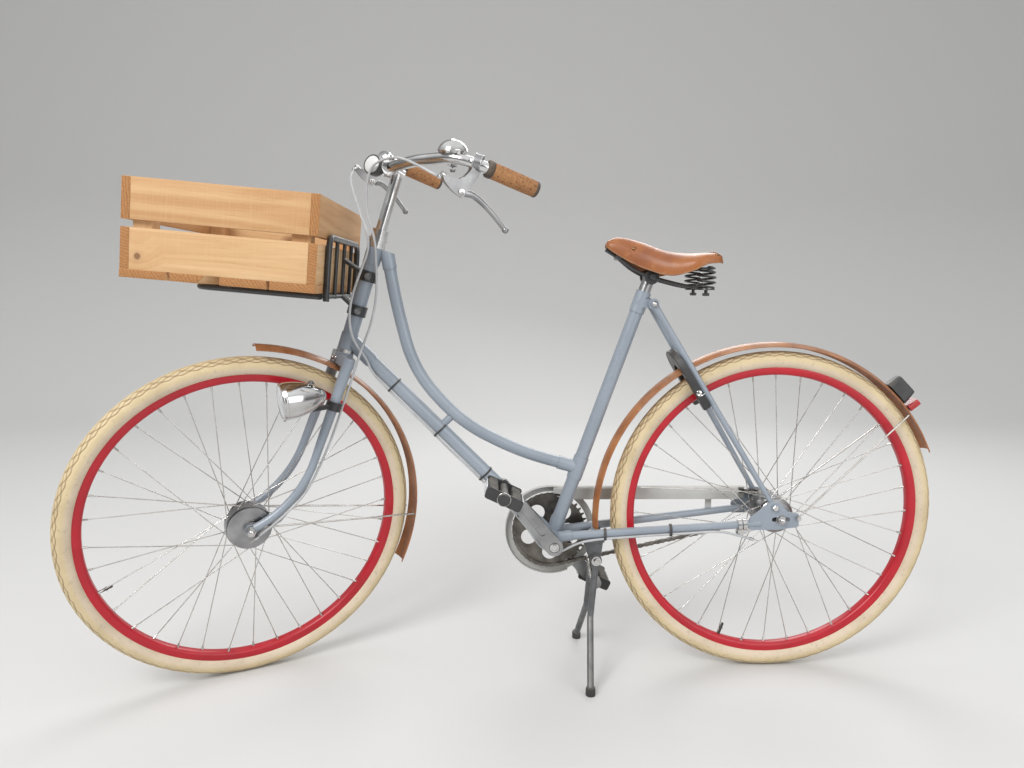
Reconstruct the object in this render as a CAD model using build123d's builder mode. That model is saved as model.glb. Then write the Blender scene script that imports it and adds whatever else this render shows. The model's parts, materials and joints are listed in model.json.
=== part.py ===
from build123d import *
import math
import os

# Step-through bicycle, in millimetres. The origin is where the rear tyre meets the ground,
# X points rearwards, Y to the rider's right and Z up. The steering stands turned to the left.

# Wheels
rim_radius = 316.3
rim_depth = 17.6
rim_width = 24.0
rim_wall = 2.0
rim_bed_depth = 8.0
tyre_rise = 14.2
tyre_radius = 19.5
tyre_wall = 2.6
spoke_radius = 1.0
spoke_count = 36
wheelbase = 1127.0
axle_radius = 4.75

# Frame layout
wheel_to_bracket = 126.0
bracket_drop = 56.0
seat_angle = 70.5
seat_tube_length = 561.0
head_angle = 72.5
fork_rake = 100.0
rest_steering = 27.4
head_tube_length = 218.0
tube_wall = 1.2
head_tube_radius = 15.9
seat_tube_radius = 14.3
top_tube_radius = 12.7
down_tube_radius = 14.3
chain_stay_radius = 9.5
seat_stay_radius = 7.5
steerer_radius = 12.7
lug_wall = 1.8
bar_rise = 162.0
bar_ahead = 26.0

# Widths along the two axles
front_axle_half = 62.0
fork_end_inner = 50.0
fork_end_wall = 4.0
rear_axle_half = 78.0
dropout_inner = 60.0
dropout_wall = 5.0
chain_line = 46.0

# Mudguards
guard_width = 46.0
guard_crown = 9.0
guard_wall = 1.5
front_guard_gap = 25.0
rear_guard_gap = 29.0

# Drive
crank_length = 170.0
crank_lift = 51.0
crank_inner = 62.0
crank_wall = 13.0
spindle_radius = 8.0
shell_radius = 20.5
shell_half = 34.0
ring_teeth = 40
sprocket_teeth = 16
chain_pitch = 12.7
pedal_length = 92.0

# Clearances
running_gap = 0.05
seat_gap = 0.3

# Brake cables
cable_radius = 2.5

side = Vector(0, 1, 0)


def direction(angle):
    """Unit vector in the bicycle's plane, from the rear horizontal upwards."""
    turn = math.radians(angle)
    return Vector(math.cos(turn), 0, math.sin(turn))


def bend_radii(points):
    """Even bends of a route: 0.45 of the shorter run, divided by the tangent of half the turn."""
    radii = []
    for before, here, after in zip(points, points[1:], points[2:]):
        run_in = here - before
        run_out = after - here
        half_turn = math.radians(run_in.get_angle(run_out)) / 2
        radii.append(0.45 * min(run_in.length, run_out.length) / math.tan(half_turn))
    return radii


def rod(start, end, radius, bore=0.0):
    """Round bar or tube from one point to another."""
    run = Vector(*end) - Vector(*start)
    with BuildPart() as piece:
        with BuildSketch(Plane(origin=Vector(*start), z_dir=run)):
            Circle(radius)
            if bore:
                Circle(bore, mode=Mode.SUBTRACT)
        extrude(amount=run.length)
    return piece.part


def bent_rod(points, radius, radii=None):
    """Round bar along straight runs joined by tangent arcs."""
    with BuildPart() as piece:
        with BuildLine() as path:
            FilletPolyline(*points, radius=radii or bend_radii(points))
        with BuildSketch(Plane(origin=path.line @ 0, z_dir=path.line % 0)):
            Circle(radius)
        sweep(path=path.line)
    return piece.part


def turned(start, end, outline):
    """Turned piece about the line from one point to another, from (along, radius) points."""
    run = Vector(*end) - Vector(*start)
    with BuildPart() as piece:
        with BuildSketch(Plane(origin=Vector(*start), x_dir=run, z_dir=run.cross(Vector(*end) + side * 999))):
            with BuildLine():
                Polyline((outline[0][0], 0), *outline, (outline[-1][0], 0), close=True)
            make_face()
        revolve(axis=Axis(Vector(*start), run))
    return piece.part


def cone(start, end, start_radius, end_radius):
    """Round bar that tapers from one point to another."""
    return turned(start, end, ((0, start_radius), ((Vector(*end) - Vector(*start)).length, end_radius)))


def hull_plate(plane, circles, thickness):
    """Flat plate round circles of (x, y, radius) on a plane."""
    with BuildPart() as piece:
        with BuildSketch(plane):
            with BuildLine():
                for x, y, radius in circles:
                    CenterArc((x, y), radius, 0, 360)
            make_hull()
        extrude(amount=thickness)
    return piece.part


def cable(points):
    """Sleeved cable along a route, with its bend radii printed."""
    radii = bend_radii(points)
    print("cable bend radii", [round(radius) for radius in radii])
    return bent_rod(points, cable_radius, radii)


# Main points of the frame
ring_radius = rim_radius + tyre_rise
wheel_radius = ring_radius + tyre_radius
rear_axle = Vector(0, 0, wheel_radius)
bracket = rear_axle - Vector(wheel_radius + wheel_to_bracket, 0, bracket_drop)
seat_line = direction(seat_angle)
seat_top = bracket + seat_line * seat_tube_length
steer_up = direction(head_angle)
steer_ahead = direction(head_angle + 90)

# The turned front wheel still touches the ground, so its axle stands a little higher
rest_turn = math.radians(rest_steering)
wheel_lean = math.sin(rest_turn) * steer_ahead.Z
front_axle_height = (
    fork_rake * (1 - math.cos(rest_turn)) * steer_ahead.Z
    + ring_radius * math.sqrt(1 - wheel_lean**2)
    + tyre_radius
)
front_axle = Vector(-wheelbase, 0, front_axle_height)
steer_foot = front_axle - steer_ahead * fork_rake
steer_axis = Axis(origin=steer_foot, direction=steer_up)

# The fork crown sits on the front mudguard, and the head tube on the crown
front_guard_radius = wheel_radius + front_guard_gap
crown_half = 11.0
crown_radius = 17.0
crown_along = (math.sqrt(front_guard_radius**2 - (fork_rake - crown_radius) ** 2) + crown_half + seat_gap)
cup_height = 7.0
race_height = 5.0
head_low = crown_along + crown_half + race_height + cup_height
head_high = head_low + head_tube_length
bar_along = head_high + bar_rise


def steer_at(along, ahead=0.0, right=0.0):
    """Point of the straight steering, along its axis, ahead of it and to the right."""
    return steer_foot + steer_up * along + steer_ahead * ahead + side * right


pieces = {}
turned_pieces = {}

# Solids that the lugs and their neighbours are cut by
head_solid = rod(steer_at(head_low - 20), steer_at(head_high + 20), head_tube_radius + lug_wall)
head_bore = rod(steer_at(head_low - 20), steer_at(head_high + 20), head_tube_radius - tube_wall)
seat_solid = rod(bracket, seat_top, seat_tube_radius)
shell_solid = rod(bracket - side * shell_half, bracket + side * shell_half, shell_radius)

# Curved top tube, from beside the head tube's top down to the seat tube
# share of the chord, sag as a share of the chord
top_tube_bends = ((0.1392, 0.0879), (0.3587, 0.2032), (0.6053, 0.2006), (0.8213, 0.1151))
top_tube_behind = 26.0
top_tube_drop = 4.0
lug_cap = 3.0
joint_height = 163.0
top_tube_start = steer_at(head_high - top_tube_drop, -top_tube_behind)
seat_joint = bracket + seat_line * joint_height
chord = seat_joint - top_tube_start
sag = Vector(chord.Z, 0, -chord.X)
top_tube_points = [
    top_tube_start,
    *(top_tube_start + chord * share + sag * drop for share, drop in top_tube_bends),
    seat_joint,
]
head_top_face = steer_at(head_high)
with BuildPart() as top_tube:
    add(bent_rod(top_tube_points, top_tube_radius))
    top_tube_solid = top_tube.part
    add(rod(head_top_face - steer_up * lug_cap, head_top_face + steer_up * 60, 70), mode=Mode.SUBTRACT)
    add(head_solid, mode=Mode.SUBTRACT)
    add(seat_solid, mode=Mode.SUBTRACT)
pieces["top_tube"] = top_tube.part

# Straight down tube, clear of the lower headset cup
cup_radius = 18.5
down_tube_rise = 22.0
down_tube_top = steer_at(head_low + down_tube_rise)
down_line = (bracket - down_tube_top).normalized()
down_solid = rod(down_tube_top, bracket, down_tube_radius)
with BuildPart() as down_tube:
    add(down_solid)
    add(head_solid, mode=Mode.SUBTRACT)
    add(rod(steer_at(head_low - 20), steer_at(head_low), cup_radius + seat_gap), mode=Mode.SUBTRACT)
    add(seat_solid, mode=Mode.SUBTRACT)
    add(shell_solid, mode=Mode.SUBTRACT)
pieces["down_tube"] = down_tube.part

# Head tube with its upper and lower lugs, sleeved over the two tubes
lug_height = 34.0
upper_lug_reach = 32.0
lower_lug_reach = 66.0
upper_line = (top_tube_points[1] - top_tube_points[0]).normalized()
with BuildPart() as head_tube:
    add(rod(steer_at(head_low), steer_at(head_high), head_tube_radius))
    for low, high in ((head_low, head_low + lug_height), (head_high - lug_height, head_high)):
        add(rod(steer_at(low), steer_at(high), head_tube_radius + lug_wall))
    add(rod(top_tube_start - upper_line * 14, top_tube_start + upper_line * upper_lug_reach,
            top_tube_radius + lug_wall))
    add(rod(down_tube_top, down_tube_top + down_line * lower_lug_reach, down_tube_radius + lug_wall))
    add(rod(head_top_face, head_top_face + steer_up * 60, 70), mode=Mode.SUBTRACT)
    add(rod(steer_at(head_low - 30), steer_at(head_low), head_tube_radius + 3 * lug_wall), mode=Mode.SUBTRACT)
    add(top_tube.part, mode=Mode.SUBTRACT)
    add(down_tube.part, mode=Mode.SUBTRACT)
    add(head_bore, mode=Mode.SUBTRACT)
pieces["head_tube"] = head_tube.part

# Headset cups, pressed into the head tube and running on the steerer
cup_skirt = 10.0
with BuildPart() as headset_cups:
    for face, out in ((head_low, -1), (head_high, 1)):
        add(rod(steer_at(face), steer_at(face + out * cup_height), cup_radius, steerer_radius + running_gap))
        add(rod(steer_at(face - out * cup_skirt), steer_at(face), head_tube_radius - tube_wall,
                steerer_radius + running_gap))
pieces["headset_cups"] = headset_cups.part

# Short strut that ties the curved tube to the down tube, square to the down tube
strut_radius = 8.0
strut_share = 0.83
strut_top = top_tube_points[2] + (top_tube_points[3] - top_tube_points[2]) * strut_share
strut_foot = down_tube_top + down_line * (strut_top - down_tube_top).dot(down_line)
with BuildPart() as frame_strut:
    add(rod(strut_top, strut_foot, strut_radius))
    add(top_tube.part, mode=Mode.SUBTRACT)
    add(down_tube.part, mode=Mode.SUBTRACT)
pieces["frame_strut"] = frame_strut.part

# Seat tube with its lugs at the top and at the curved tube; the seat post slides in its bore
post_radius = 12.7
seat_bore_depth = 120.0
seat_lug_height = 46.0
joint_lug_half = 25.0
joint_lug_reach = 30.0
bolt_back = 16.7
bolt_drop = 24.8
stay_bolt = seat_top + Vector(bolt_back, 0, -bolt_drop)
stay_top_half = 21.0
stay_eye_half = 5.0
stay_bolt_radius = 4.0
ear_radius = 9.0
ear_half = stay_top_half - stay_eye_half - seat_gap
joint_line = (top_tube_points[-2] - seat_joint).normalized()
ear_foot = seat_top - seat_line * bolt_drop
with BuildPart() as seat_tube:
    add(seat_solid)
    add(rod(seat_top - seat_line * seat_lug_height, seat_top, seat_tube_radius + lug_wall))
    add(rod(seat_joint - seat_line * joint_lug_half, seat_joint + seat_line * joint_lug_half,
            seat_tube_radius + lug_wall))
    add(rod(seat_joint, seat_joint + joint_line * (seat_tube_radius + joint_lug_reach), top_tube_radius + lug_wall))
    add(hull_plate(Plane(origin=stay_bolt - side * ear_half, x_dir=(1, 0, 0), z_dir=side),
                   ((0, 0, ear_radius), (ear_foot.X - stay_bolt.X, stay_bolt.Z - ear_foot.Z, ear_radius)),
                   2 * ear_half))
    add(rod(stay_bolt - side * 40, stay_bolt + side * 40, stay_bolt_radius + running_gap), mode=Mode.SUBTRACT)
    add(rod(seat_top - seat_line * seat_bore_depth, seat_top + seat_line * 9, post_radius), mode=Mode.SUBTRACT)
    add(shell_solid, mode=Mode.SUBTRACT)
    add(top_tube.part, mode=Mode.SUBTRACT)
pieces["seat_tube"] = seat_tube.part

# Chain stays, two cones, with the bridge between them
stay_front = bracket + Vector(12, 24, 8)
stay_rear = rear_axle + Vector(-42, dropout_inner, -9)
stay_end_radius = 8.0
bridge_share = 0.19
bridge_radius = 6.0
bridge = stay_front + (stay_rear - stay_front) * bridge_share
with BuildPart() as chain_stays:
    for out in (-1, 1):
        front = Vector(stay_front.X, out * stay_front.Y, stay_front.Z)
        rear = Vector(stay_rear.X, out * stay_rear.Y, stay_rear.Z)
        add(cone(front, rear, chain_stay_radius, stay_end_radius))
    add(rod(Vector(bridge.X, -bridge.Y, bridge.Z), bridge, bridge_radius))
    add(shell_solid, mode=Mode.SUBTRACT)
pieces["chain_stays"] = chain_stays.part

# Bottom bracket shell with a socket for each tube and its two cups, bored for the spindle
cup_lip = 3.0
socket_reach = 26.0
stay_socket_reach = 30.0
with BuildPart() as bottom_bracket:
    add(shell_solid)
    add(rod(bracket, bracket - down_line * (shell_radius + socket_reach), down_tube_radius + lug_wall))
    add(rod(bracket, bracket + seat_line * (shell_radius + socket_reach), seat_tube_radius + lug_wall))
    for out in (-1, 1):
        front = Vector(stay_front.X, out * stay_front.Y, stay_front.Z)
        rear = Vector(stay_rear.X, out * stay_rear.Y, stay_rear.Z)
        add(rod(front, front + (rear - front).normalized() * stay_socket_reach, chain_stay_radius + lug_wall))
        face = bracket + side * out * shell_half
        add(rod(face, face + side * out * cup_lip, shell_radius - 3))
    add(down_tube.part, mode=Mode.SUBTRACT)
    add(seat_tube.part, mode=Mode.SUBTRACT)
    add(chain_stays.part, mode=Mode.SUBTRACT)
    add(rod(bracket - side * 60, bracket + side * 60, spindle_radius + running_gap), mode=Mode.SUBTRACT)
pieces["bottom_bracket"] = bottom_bracket.part

# Rear mudguard's circle, set a little forward so that it clears the tyre more at the front
rear_guard_centre = rear_axle + Vector(-9.5, 0, -10)
rear_guard_radius = wheel_radius + rear_guard_gap
rear_guard_start = 23.0
rear_guard_end = 180 + math.degrees(
    math.asin((rear_guard_centre.Z - bridge.Z - bridge_radius - seat_gap) / rear_guard_radius)
)

# Seat stays, bolted to the seat lug and to the dropouts, with a bridge above the mudguard
stay_end_width = 5.5
stay_eye_radius = 11.0
foot_eye_radius = 8.5
foot_eye_half = 3.0
bolt_head_radius = 7.0
bolt_head = 4.0
stay_bridge_radius = 5.0
stay_foot = rear_axle + Vector(-14, dropout_inner - seat_gap - foot_eye_half, 26)
stay_run = (Vector(stay_foot.X, 0, stay_foot.Z) - stay_bolt).normalized()
stay_back = Vector(stay_run.Z, 0, -stay_run.X)
from_guard = stay_bolt - rear_guard_centre
bridge_circle = rear_guard_radius + stay_bridge_radius + seat_gap
bridge_along = -from_guard.dot(stay_run) - math.sqrt(
    from_guard.dot(stay_run) ** 2 - from_guard.dot(from_guard) + bridge_circle**2
)
stay_bridge = stay_bolt + stay_run * bridge_along
stay_bridge_half = stay_top_half + (stay_foot.Y - stay_top_half) * bridge_along / (stay_foot - stay_bolt).length
bolt_end = stay_top_half + stay_eye_half
with BuildPart() as seat_stays:
    for out in (-1, 1):
        top = stay_bolt + side * out * stay_top_half
        foot = Vector(stay_foot.X, out * stay_foot.Y, stay_foot.Z)
        add(cone(top, foot, seat_stay_radius, stay_end_width))
        with Locations(Vector(foot.X, out * (dropout_inner - seat_gap + 10), foot.Z)):
            Box(60, 20, 60, mode=Mode.SUBTRACT)
        with Locations(stay_bolt):
            Box(80, 2 * (stay_top_half - stay_eye_half), 80, mode=Mode.SUBTRACT)
        add(rod(top - side * stay_eye_half, top + side * stay_eye_half, stay_eye_radius))
        add(rod(foot - side * foot_eye_half, foot + side * foot_eye_half, foot_eye_radius))
        add(rod(stay_bolt + side * out * bolt_end, stay_bolt + side * out * (bolt_end + bolt_head),
                bolt_head_radius))
        outer = Vector(foot.X, out * (dropout_inner + dropout_wall + seat_gap), foot.Z)
        add(rod(foot, outer + side * out * bolt_head, stay_bolt_radius))
        add(rod(outer, outer + side * out * bolt_head, bolt_head_radius))
    add(rod(stay_bolt - side * bolt_end, stay_bolt + side * bolt_end, stay_bolt_radius))
    add(rod(stay_bridge - side * stay_bridge_half, stay_bridge + side * stay_bridge_half, stay_bridge_radius))
pieces["seat_stays"] = seat_stays.part

# Dropout plates at the ends of the stays, with the slot for the axle
dropout_outline = ((-66, -22), (-66, 2), (-24, 37), (-6, 37), (16, 16), (38, 12), (38, -16), (-8, -22))
slot_reach = 14.0
with BuildPart() as dropouts:
    for out in (-1, 1):
        plane = Plane(origin=rear_axle + side * out * dropout_inner, x_dir=(1, 0, 0), z_dir=(0, -1, 0))
        with BuildSketch(plane) as plate:
            Polygon(*dropout_outline, align=None)
            fillet(plate.vertices(), 5)
            SlotCenterPoint((0, 0), (slot_reach, 0), 2 * (axle_radius + seat_gap), mode=Mode.SUBTRACT)
            with Locations((stay_foot.X - rear_axle.X, stay_foot.Z - rear_axle.Z)):
                Circle(stay_bolt_radius + running_gap, mode=Mode.SUBTRACT)
        extrude(amount=-out * dropout_wall)
    add(chain_stays.part, mode=Mode.SUBTRACT)
pieces["dropouts"] = dropouts.part

# Rear axle with its nuts, and the brake arm that a clamp ring ties to the left chain stay
nut_radius = 8.5
nut_height = 8.0
dome_height = 5.0
arm_wall = 3.0
arm_half = 7.0
arm_boss = 12.0
clamp_along = 0.912
clamp_half = 4.0
clamp_wall = 2.5
arm_face = dropout_inner - stay_end_radius - seat_gap - arm_wall
left_front = Vector(stay_front.X, -stay_front.Y, stay_front.Z)
left_rear = Vector(stay_rear.X, -stay_rear.Y, stay_rear.Z)
clamp_centre = left_front + (left_rear - left_front) * clamp_along
clamp_line = (left_rear - left_front).normalized()
clamp_radius = chain_stay_radius + clamp_wall
arm_drop = clamp_radius + 5
arm_end_spot = (clamp_centre.X - 4, rear_axle.Z - clamp_centre.Z + arm_drop, arm_half)
arm_plane = Plane(origin=rear_axle - side * (arm_face + arm_wall), x_dir=(1, 0, 0), z_dir=side)
with BuildPart() as rear_axle_nuts:
    add(rod(rear_axle - side * rear_axle_half, rear_axle + side * rear_axle_half, axle_radius))
    for out in (-1, 1):
        face = out * (dropout_inner + dropout_wall)
        with BuildSketch(Plane(origin=rear_axle + side * face, x_dir=(1, 0, 0), z_dir=side * out)):
            RegularPolygon(nut_radius, 6)
        extrude(amount=nut_height)
    add(rod(rear_axle - side * (dropout_inner - seat_gap), rear_axle - side * arm_face, arm_boss))
    add(hull_plate(arm_plane, ((0, 0, arm_boss + 1), arm_end_spot), arm_wall))
    for shift in (-1, 1):
        spot = clamp_centre + clamp_line * shift * (clamp_half + 1)
        add(rod(spot - clamp_line * clamp_half, spot + clamp_line * clamp_half, clamp_radius))
    with Locations(clamp_centre + Vector(0, 3, -clamp_radius - 3)):
        Box(4 * clamp_half + 2, 13, 10)
    add(chain_stays.part, mode=Mode.SUBTRACT)
pieces["rear_axle_nuts"] = rear_axle_nuts.part


def mudguard(centre, radius, first, last):
    """Arched guard strip, from one angle to another about its centre."""
    radial = direction(first)
    half = guard_width / 2
    with BuildPart() as piece:
        with BuildSketch(Plane(origin=centre, x_dir=radial, z_dir=radial.cross(side))):
            with BuildLine():
                outer = ThreePointArc((radius - guard_crown, -half), (radius, 0), (radius - guard_crown, half))
                inner = ThreePointArc((radius - guard_crown, -half + guard_wall), (radius - guard_wall, 0),
                                      (radius - guard_crown, half - guard_wall))
                Line(outer @ 0, inner @ 0)
                Line(outer @ 1, inner @ 1)
            make_face()
        revolve(axis=Axis(centre, side * -1), revolution_arc=last - first)
    return piece.part


# Rear mudguard
pieces["rear_mudguard"] = mudguard(rear_guard_centre, rear_guard_radius, rear_guard_start, rear_guard_end)

# Wire stays of the rear mudguard, from the dropouts to the guard's edge
wire_radius = 2.0
wire_angle = 38.0
guard_edge = guard_crown + 4.0
stay_edge = rear_guard_centre + direction(wire_angle) * (rear_guard_radius - guard_edge)
with BuildPart() as rear_guard_stays:
    for out in (-1, 1):
        tab = rear_axle + Vector(35, out * (dropout_inner + dropout_wall + wire_radius + 1), 4)
        add(rod(tab, Vector(stay_edge.X, out * (guard_width / 2 + wire_radius), stay_edge.Z), wire_radius))
        add(rod(tab - side * out * wire_radius, tab + side * out * (wire_radius + 1), 2.5 * wire_radius))
pieces["rear_guard_stays"] = rear_guard_stays.part

# Tail lamp with its reflector, on the rear mudguard
lamp_angle = 45.0
reflector_step = 6.2
lamp_height = 32.0
lamp_base = rear_guard_centre + direction(lamp_angle) * (rear_guard_radius + seat_gap)
lamp_plane = Plane(origin=lamp_base, x_dir=side, z_dir=direction(lamp_angle))
with BuildPart() as tail_lamp:
    with BuildSketch(lamp_plane):
        RectangleRounded(30, 58, 10)
    extrude(amount=lamp_height, taper=7)
    fillet(tail_lamp.faces().sort_by(Axis(lamp_base, direction(lamp_angle)))[-1].edges(), 5)
pieces["tail_lamp"] = tail_lamp.part
reflector_angle = lamp_angle - reflector_step
lens_base = rear_guard_centre + direction(reflector_angle) * (rear_guard_radius + seat_gap)
lens_plane = Plane(origin=lens_base, x_dir=side, z_dir=direction(reflector_angle))
with BuildPart() as tail_reflector:
    with BuildSketch(lens_plane):
        RectangleRounded(34, 14, 4)
    extrude(amount=24)
    add(tail_lamp.part, mode=Mode.SUBTRACT)
pieces["tail_reflector"] = tail_reflector.part

# Ring lock on the seat stays, a horseshoe round the tyre
lock_inner_half = 31.0
lock_outer_half = 50.0
lock_wall = 15.0
lock_height = 140.0
lock_reach = 175.0
lock_corner = 9.0
lock_arch = -5.0
lock_offset = seat_stay_radius + lock_wall / 2 + seat_gap
lock_centre = stay_bolt + stay_run * lock_reach + stay_back * lock_offset
lock_plane = Plane(origin=lock_centre - stay_back * lock_wall / 2, x_dir=side, z_dir=stay_back)
with BuildPart() as ring_lock:
    with BuildSketch(lock_plane):
        with BuildLine():
            CenterArc((0, lock_outer_half - lock_height / 2), lock_outer_half, 0, 360)
            for out in (-1, 1):
                corner = (out * (lock_outer_half - lock_corner), lock_height / 2 - lock_corner)
                CenterArc(corner, lock_corner, 0, 360)
        make_hull()
        with Locations((0, lock_arch)):
            Circle(lock_inner_half, mode=Mode.SUBTRACT)
        with Locations((0, lock_arch + lock_height / 2)):
            Rectangle(2 * lock_inner_half, lock_height, mode=Mode.SUBTRACT)
    extrude(amount=lock_wall)
    chamfer(ring_lock.faces().filter_by(Axis(lock_centre, stay_back)).edges(), 1.5)
pieces["ring_lock"] = ring_lock.part

# Seat post with the saddle clamp
clamp_rise = 32.0
clamp_half_width = 27.0
saddle_clamp_radius = 12.0
clamp_point = seat_top + seat_line * clamp_rise
with BuildPart() as seat_post:
    add(rod(seat_top - seat_line * 100, seat_top + seat_line * 22, post_radius))
    add(rod(seat_top + seat_line * 20, clamp_point, 11.0))
    add(rod(clamp_point - side * clamp_half_width, clamp_point + side * clamp_half_width, saddle_clamp_radius))
pieces["seat_post"] = seat_post.part

# Saddle frame: rails, nose bracket, rear coil springs and the cantle under the leather
rail_radius = 3.4
spring_spot = Vector(106, 49, -26)
spring_height = 45.0
spring_radius = 15.0
spring_wire = 2.2
spring_turns = 4
nose_bar = Vector(-67, 0, 40)
nose_half = 20.0
rail_points = ((-67, 11, 40), (-34, 19, 15), (0, 24, 0), (66, 33, -17), (106, 49, -22))
cantle_half = 62.0
cantle_radius = 4.0
cup_wall = 3.0
with BuildPart() as saddle_frame:
    for out in (-1, 1):
        route = [clamp_point + Vector(x, out * y, z) for x, y, z in rail_points]
        add(bent_rod(route, rail_radius))
        low = clamp_point + Vector(spring_spot.X, out * spring_spot.Y, spring_spot.Z)
        high = low + Vector(0, 0, spring_height)
        add(rod(low, low + Vector(0, 0, cup_wall), spring_radius + spring_wire))
        add(rod(high - Vector(0, 0, cup_wall), high, spring_radius + spring_wire))
        for turn in range(spring_turns):
            ring = low + Vector(0, 0, cup_wall + (turn + 0.5) * (spring_height - 2 * cup_wall) / spring_turns)
            with BuildSketch(Plane(origin=ring, x_dir=(1, 0, 0), z_dir=(0, 1, 0))):
                with Locations((spring_radius, 0)):
                    Circle(spring_wire)
            revolve(axis=Axis(ring, (0, 0, 1)))
        add(rod(low, high, spring_radius - spring_wire - 4))
        for spoke in (0, 90):
            reach = Vector(math.cos(math.radians(spoke + 45)), math.sin(math.radians(spoke + 45)), 0) * spring_radius
            for turn in range(spring_turns):
                ring = low + Vector(0, 0, cup_wall + (turn + 0.5) * (spring_height - 2 * cup_wall) / spring_turns)
                add(rod(ring - reach, ring + reach, 1.0))
    nose = clamp_point + nose_bar
    add(rod(nose - side * nose_half, nose + side * nose_half, 6.0))
    cantle = clamp_point + Vector(spring_spot.X, 0, spring_spot.Z + spring_height)
    add(rod(cantle - side * cantle_half, cantle + side * cantle_half, cantle_radius))
    add(rod(clamp_point - side * clamp_half_width, clamp_point + side * clamp_half_width, saddle_clamp_radius),
        mode=Mode.SUBTRACT)
pieces["saddle_frame"] = saddle_frame.part

# Leather saddle top, lofted through arched cross-sections about the clamp
# position, half width, top height, skirt height
saddle_sections = (
    (-99, 13, 71, 57),
    (-72, 24, 79, 39),
    (-22, 40, 66, 13),
    (30, 66, 51, -1),
    (78, 88, 48, 13),
    (138, 86, 48, 29),
)
leather_wall = 4.5


def saddle_form(inset, drop):
    """Arched saddle body, smaller by an inset and with its skirt lower by a drop."""
    with BuildPart() as form:
        for x, half, top, low in saddle_sections:
            with BuildSketch(Plane(origin=clamp_point + Vector(x, 0, 0), x_dir=(0, 1, 0), z_dir=(1, 0, 0))):
                with BuildLine():
                    over = ThreePointArc((inset - half, low - drop), (0, top - inset), (half - inset, low - drop))
                    Line(over @ 1, over @ 0)
                make_face()
        loft()
    return form.part


with BuildPart() as saddle_top:
    add(saddle_form(0, 0))
    add(saddle_form(leather_wall, 1), mode=Mode.SUBTRACT)
    add(saddle_frame.part, mode=Mode.SUBTRACT)
pieces["saddle_top"] = saddle_top.part


def tooth_ring(centre, count, pitch_radius, hole):
    """Toothed disc for the chain, bored for what carries it."""
    root = pitch_radius - 3.2
    tip = pitch_radius + 3.6
    with BuildPart() as disc:
        with BuildSketch(Plane(origin=centre - side, x_dir=(1, 0, 0), z_dir=side)):
            Circle(root)
            with PolarLocations(0, count):
                Polygon((root - 1, -3.4), (pitch_radius, -2.4), (tip, -1.2), (tip, 1.2), (pitch_radius, 2.4),
                        (root - 1, 3.4), align=None)
            if hole:
                Circle(hole, mode=Mode.SUBTRACT)
        extrude(amount=2)
    return disc.part


# Chain, two rows of side plates with rollers along the straight runs
ring_pitch_radius = chain_pitch / (2 * math.sin(math.pi / ring_teeth))
sprocket_pitch_radius = chain_pitch / (2 * math.sin(math.pi / sprocket_teeth))
plate_half = 4.1
plate_wall = 1.2
plate_gap = 3.0
roller_radius = 3.6
roller_step = 5
chain_lean = math.degrees(math.atan2(rear_axle.Z - bracket.Z, rear_axle.X - bracket.X))
centre_distance = (rear_axle - bracket).length
chain_spread = math.degrees(math.acos((ring_pitch_radius - sprocket_pitch_radius) / centre_distance))
with BuildPart() as chain:
    for row in (-1, 1):
        with BuildSketch(Plane.XZ.offset(-chain_line - row * plate_gap)):
            for grow, kind in ((plate_half, Mode.ADD), (-plate_half, Mode.SUBTRACT)):
                with BuildSketch(mode=Mode.PRIVATE) as loop:
                    with BuildLine():
                        CenterArc((bracket.X, bracket.Z), ring_pitch_radius + grow, 0, 360)
                        CenterArc((rear_axle.X, rear_axle.Z), sprocket_pitch_radius + grow, 0, 360)
                    make_hull()
                add(loop.sketch, mode=kind)
        extrude(amount=-row * plate_wall)
    for run in (1, -1):
        out = direction(chain_lean + run * chain_spread)
        start = bracket + out * ring_pitch_radius
        end = rear_axle + out * sprocket_pitch_radius
        along = (end - start).normalized()
        for step in range(3, int((end - start).length / chain_pitch) - 1, roller_step):
            spot = start + along * step * chain_pitch + side * chain_line
            add(rod(spot - side * plate_gap, spot + side * plate_gap, roller_radius))
pieces["chain"] = chain.part

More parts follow.
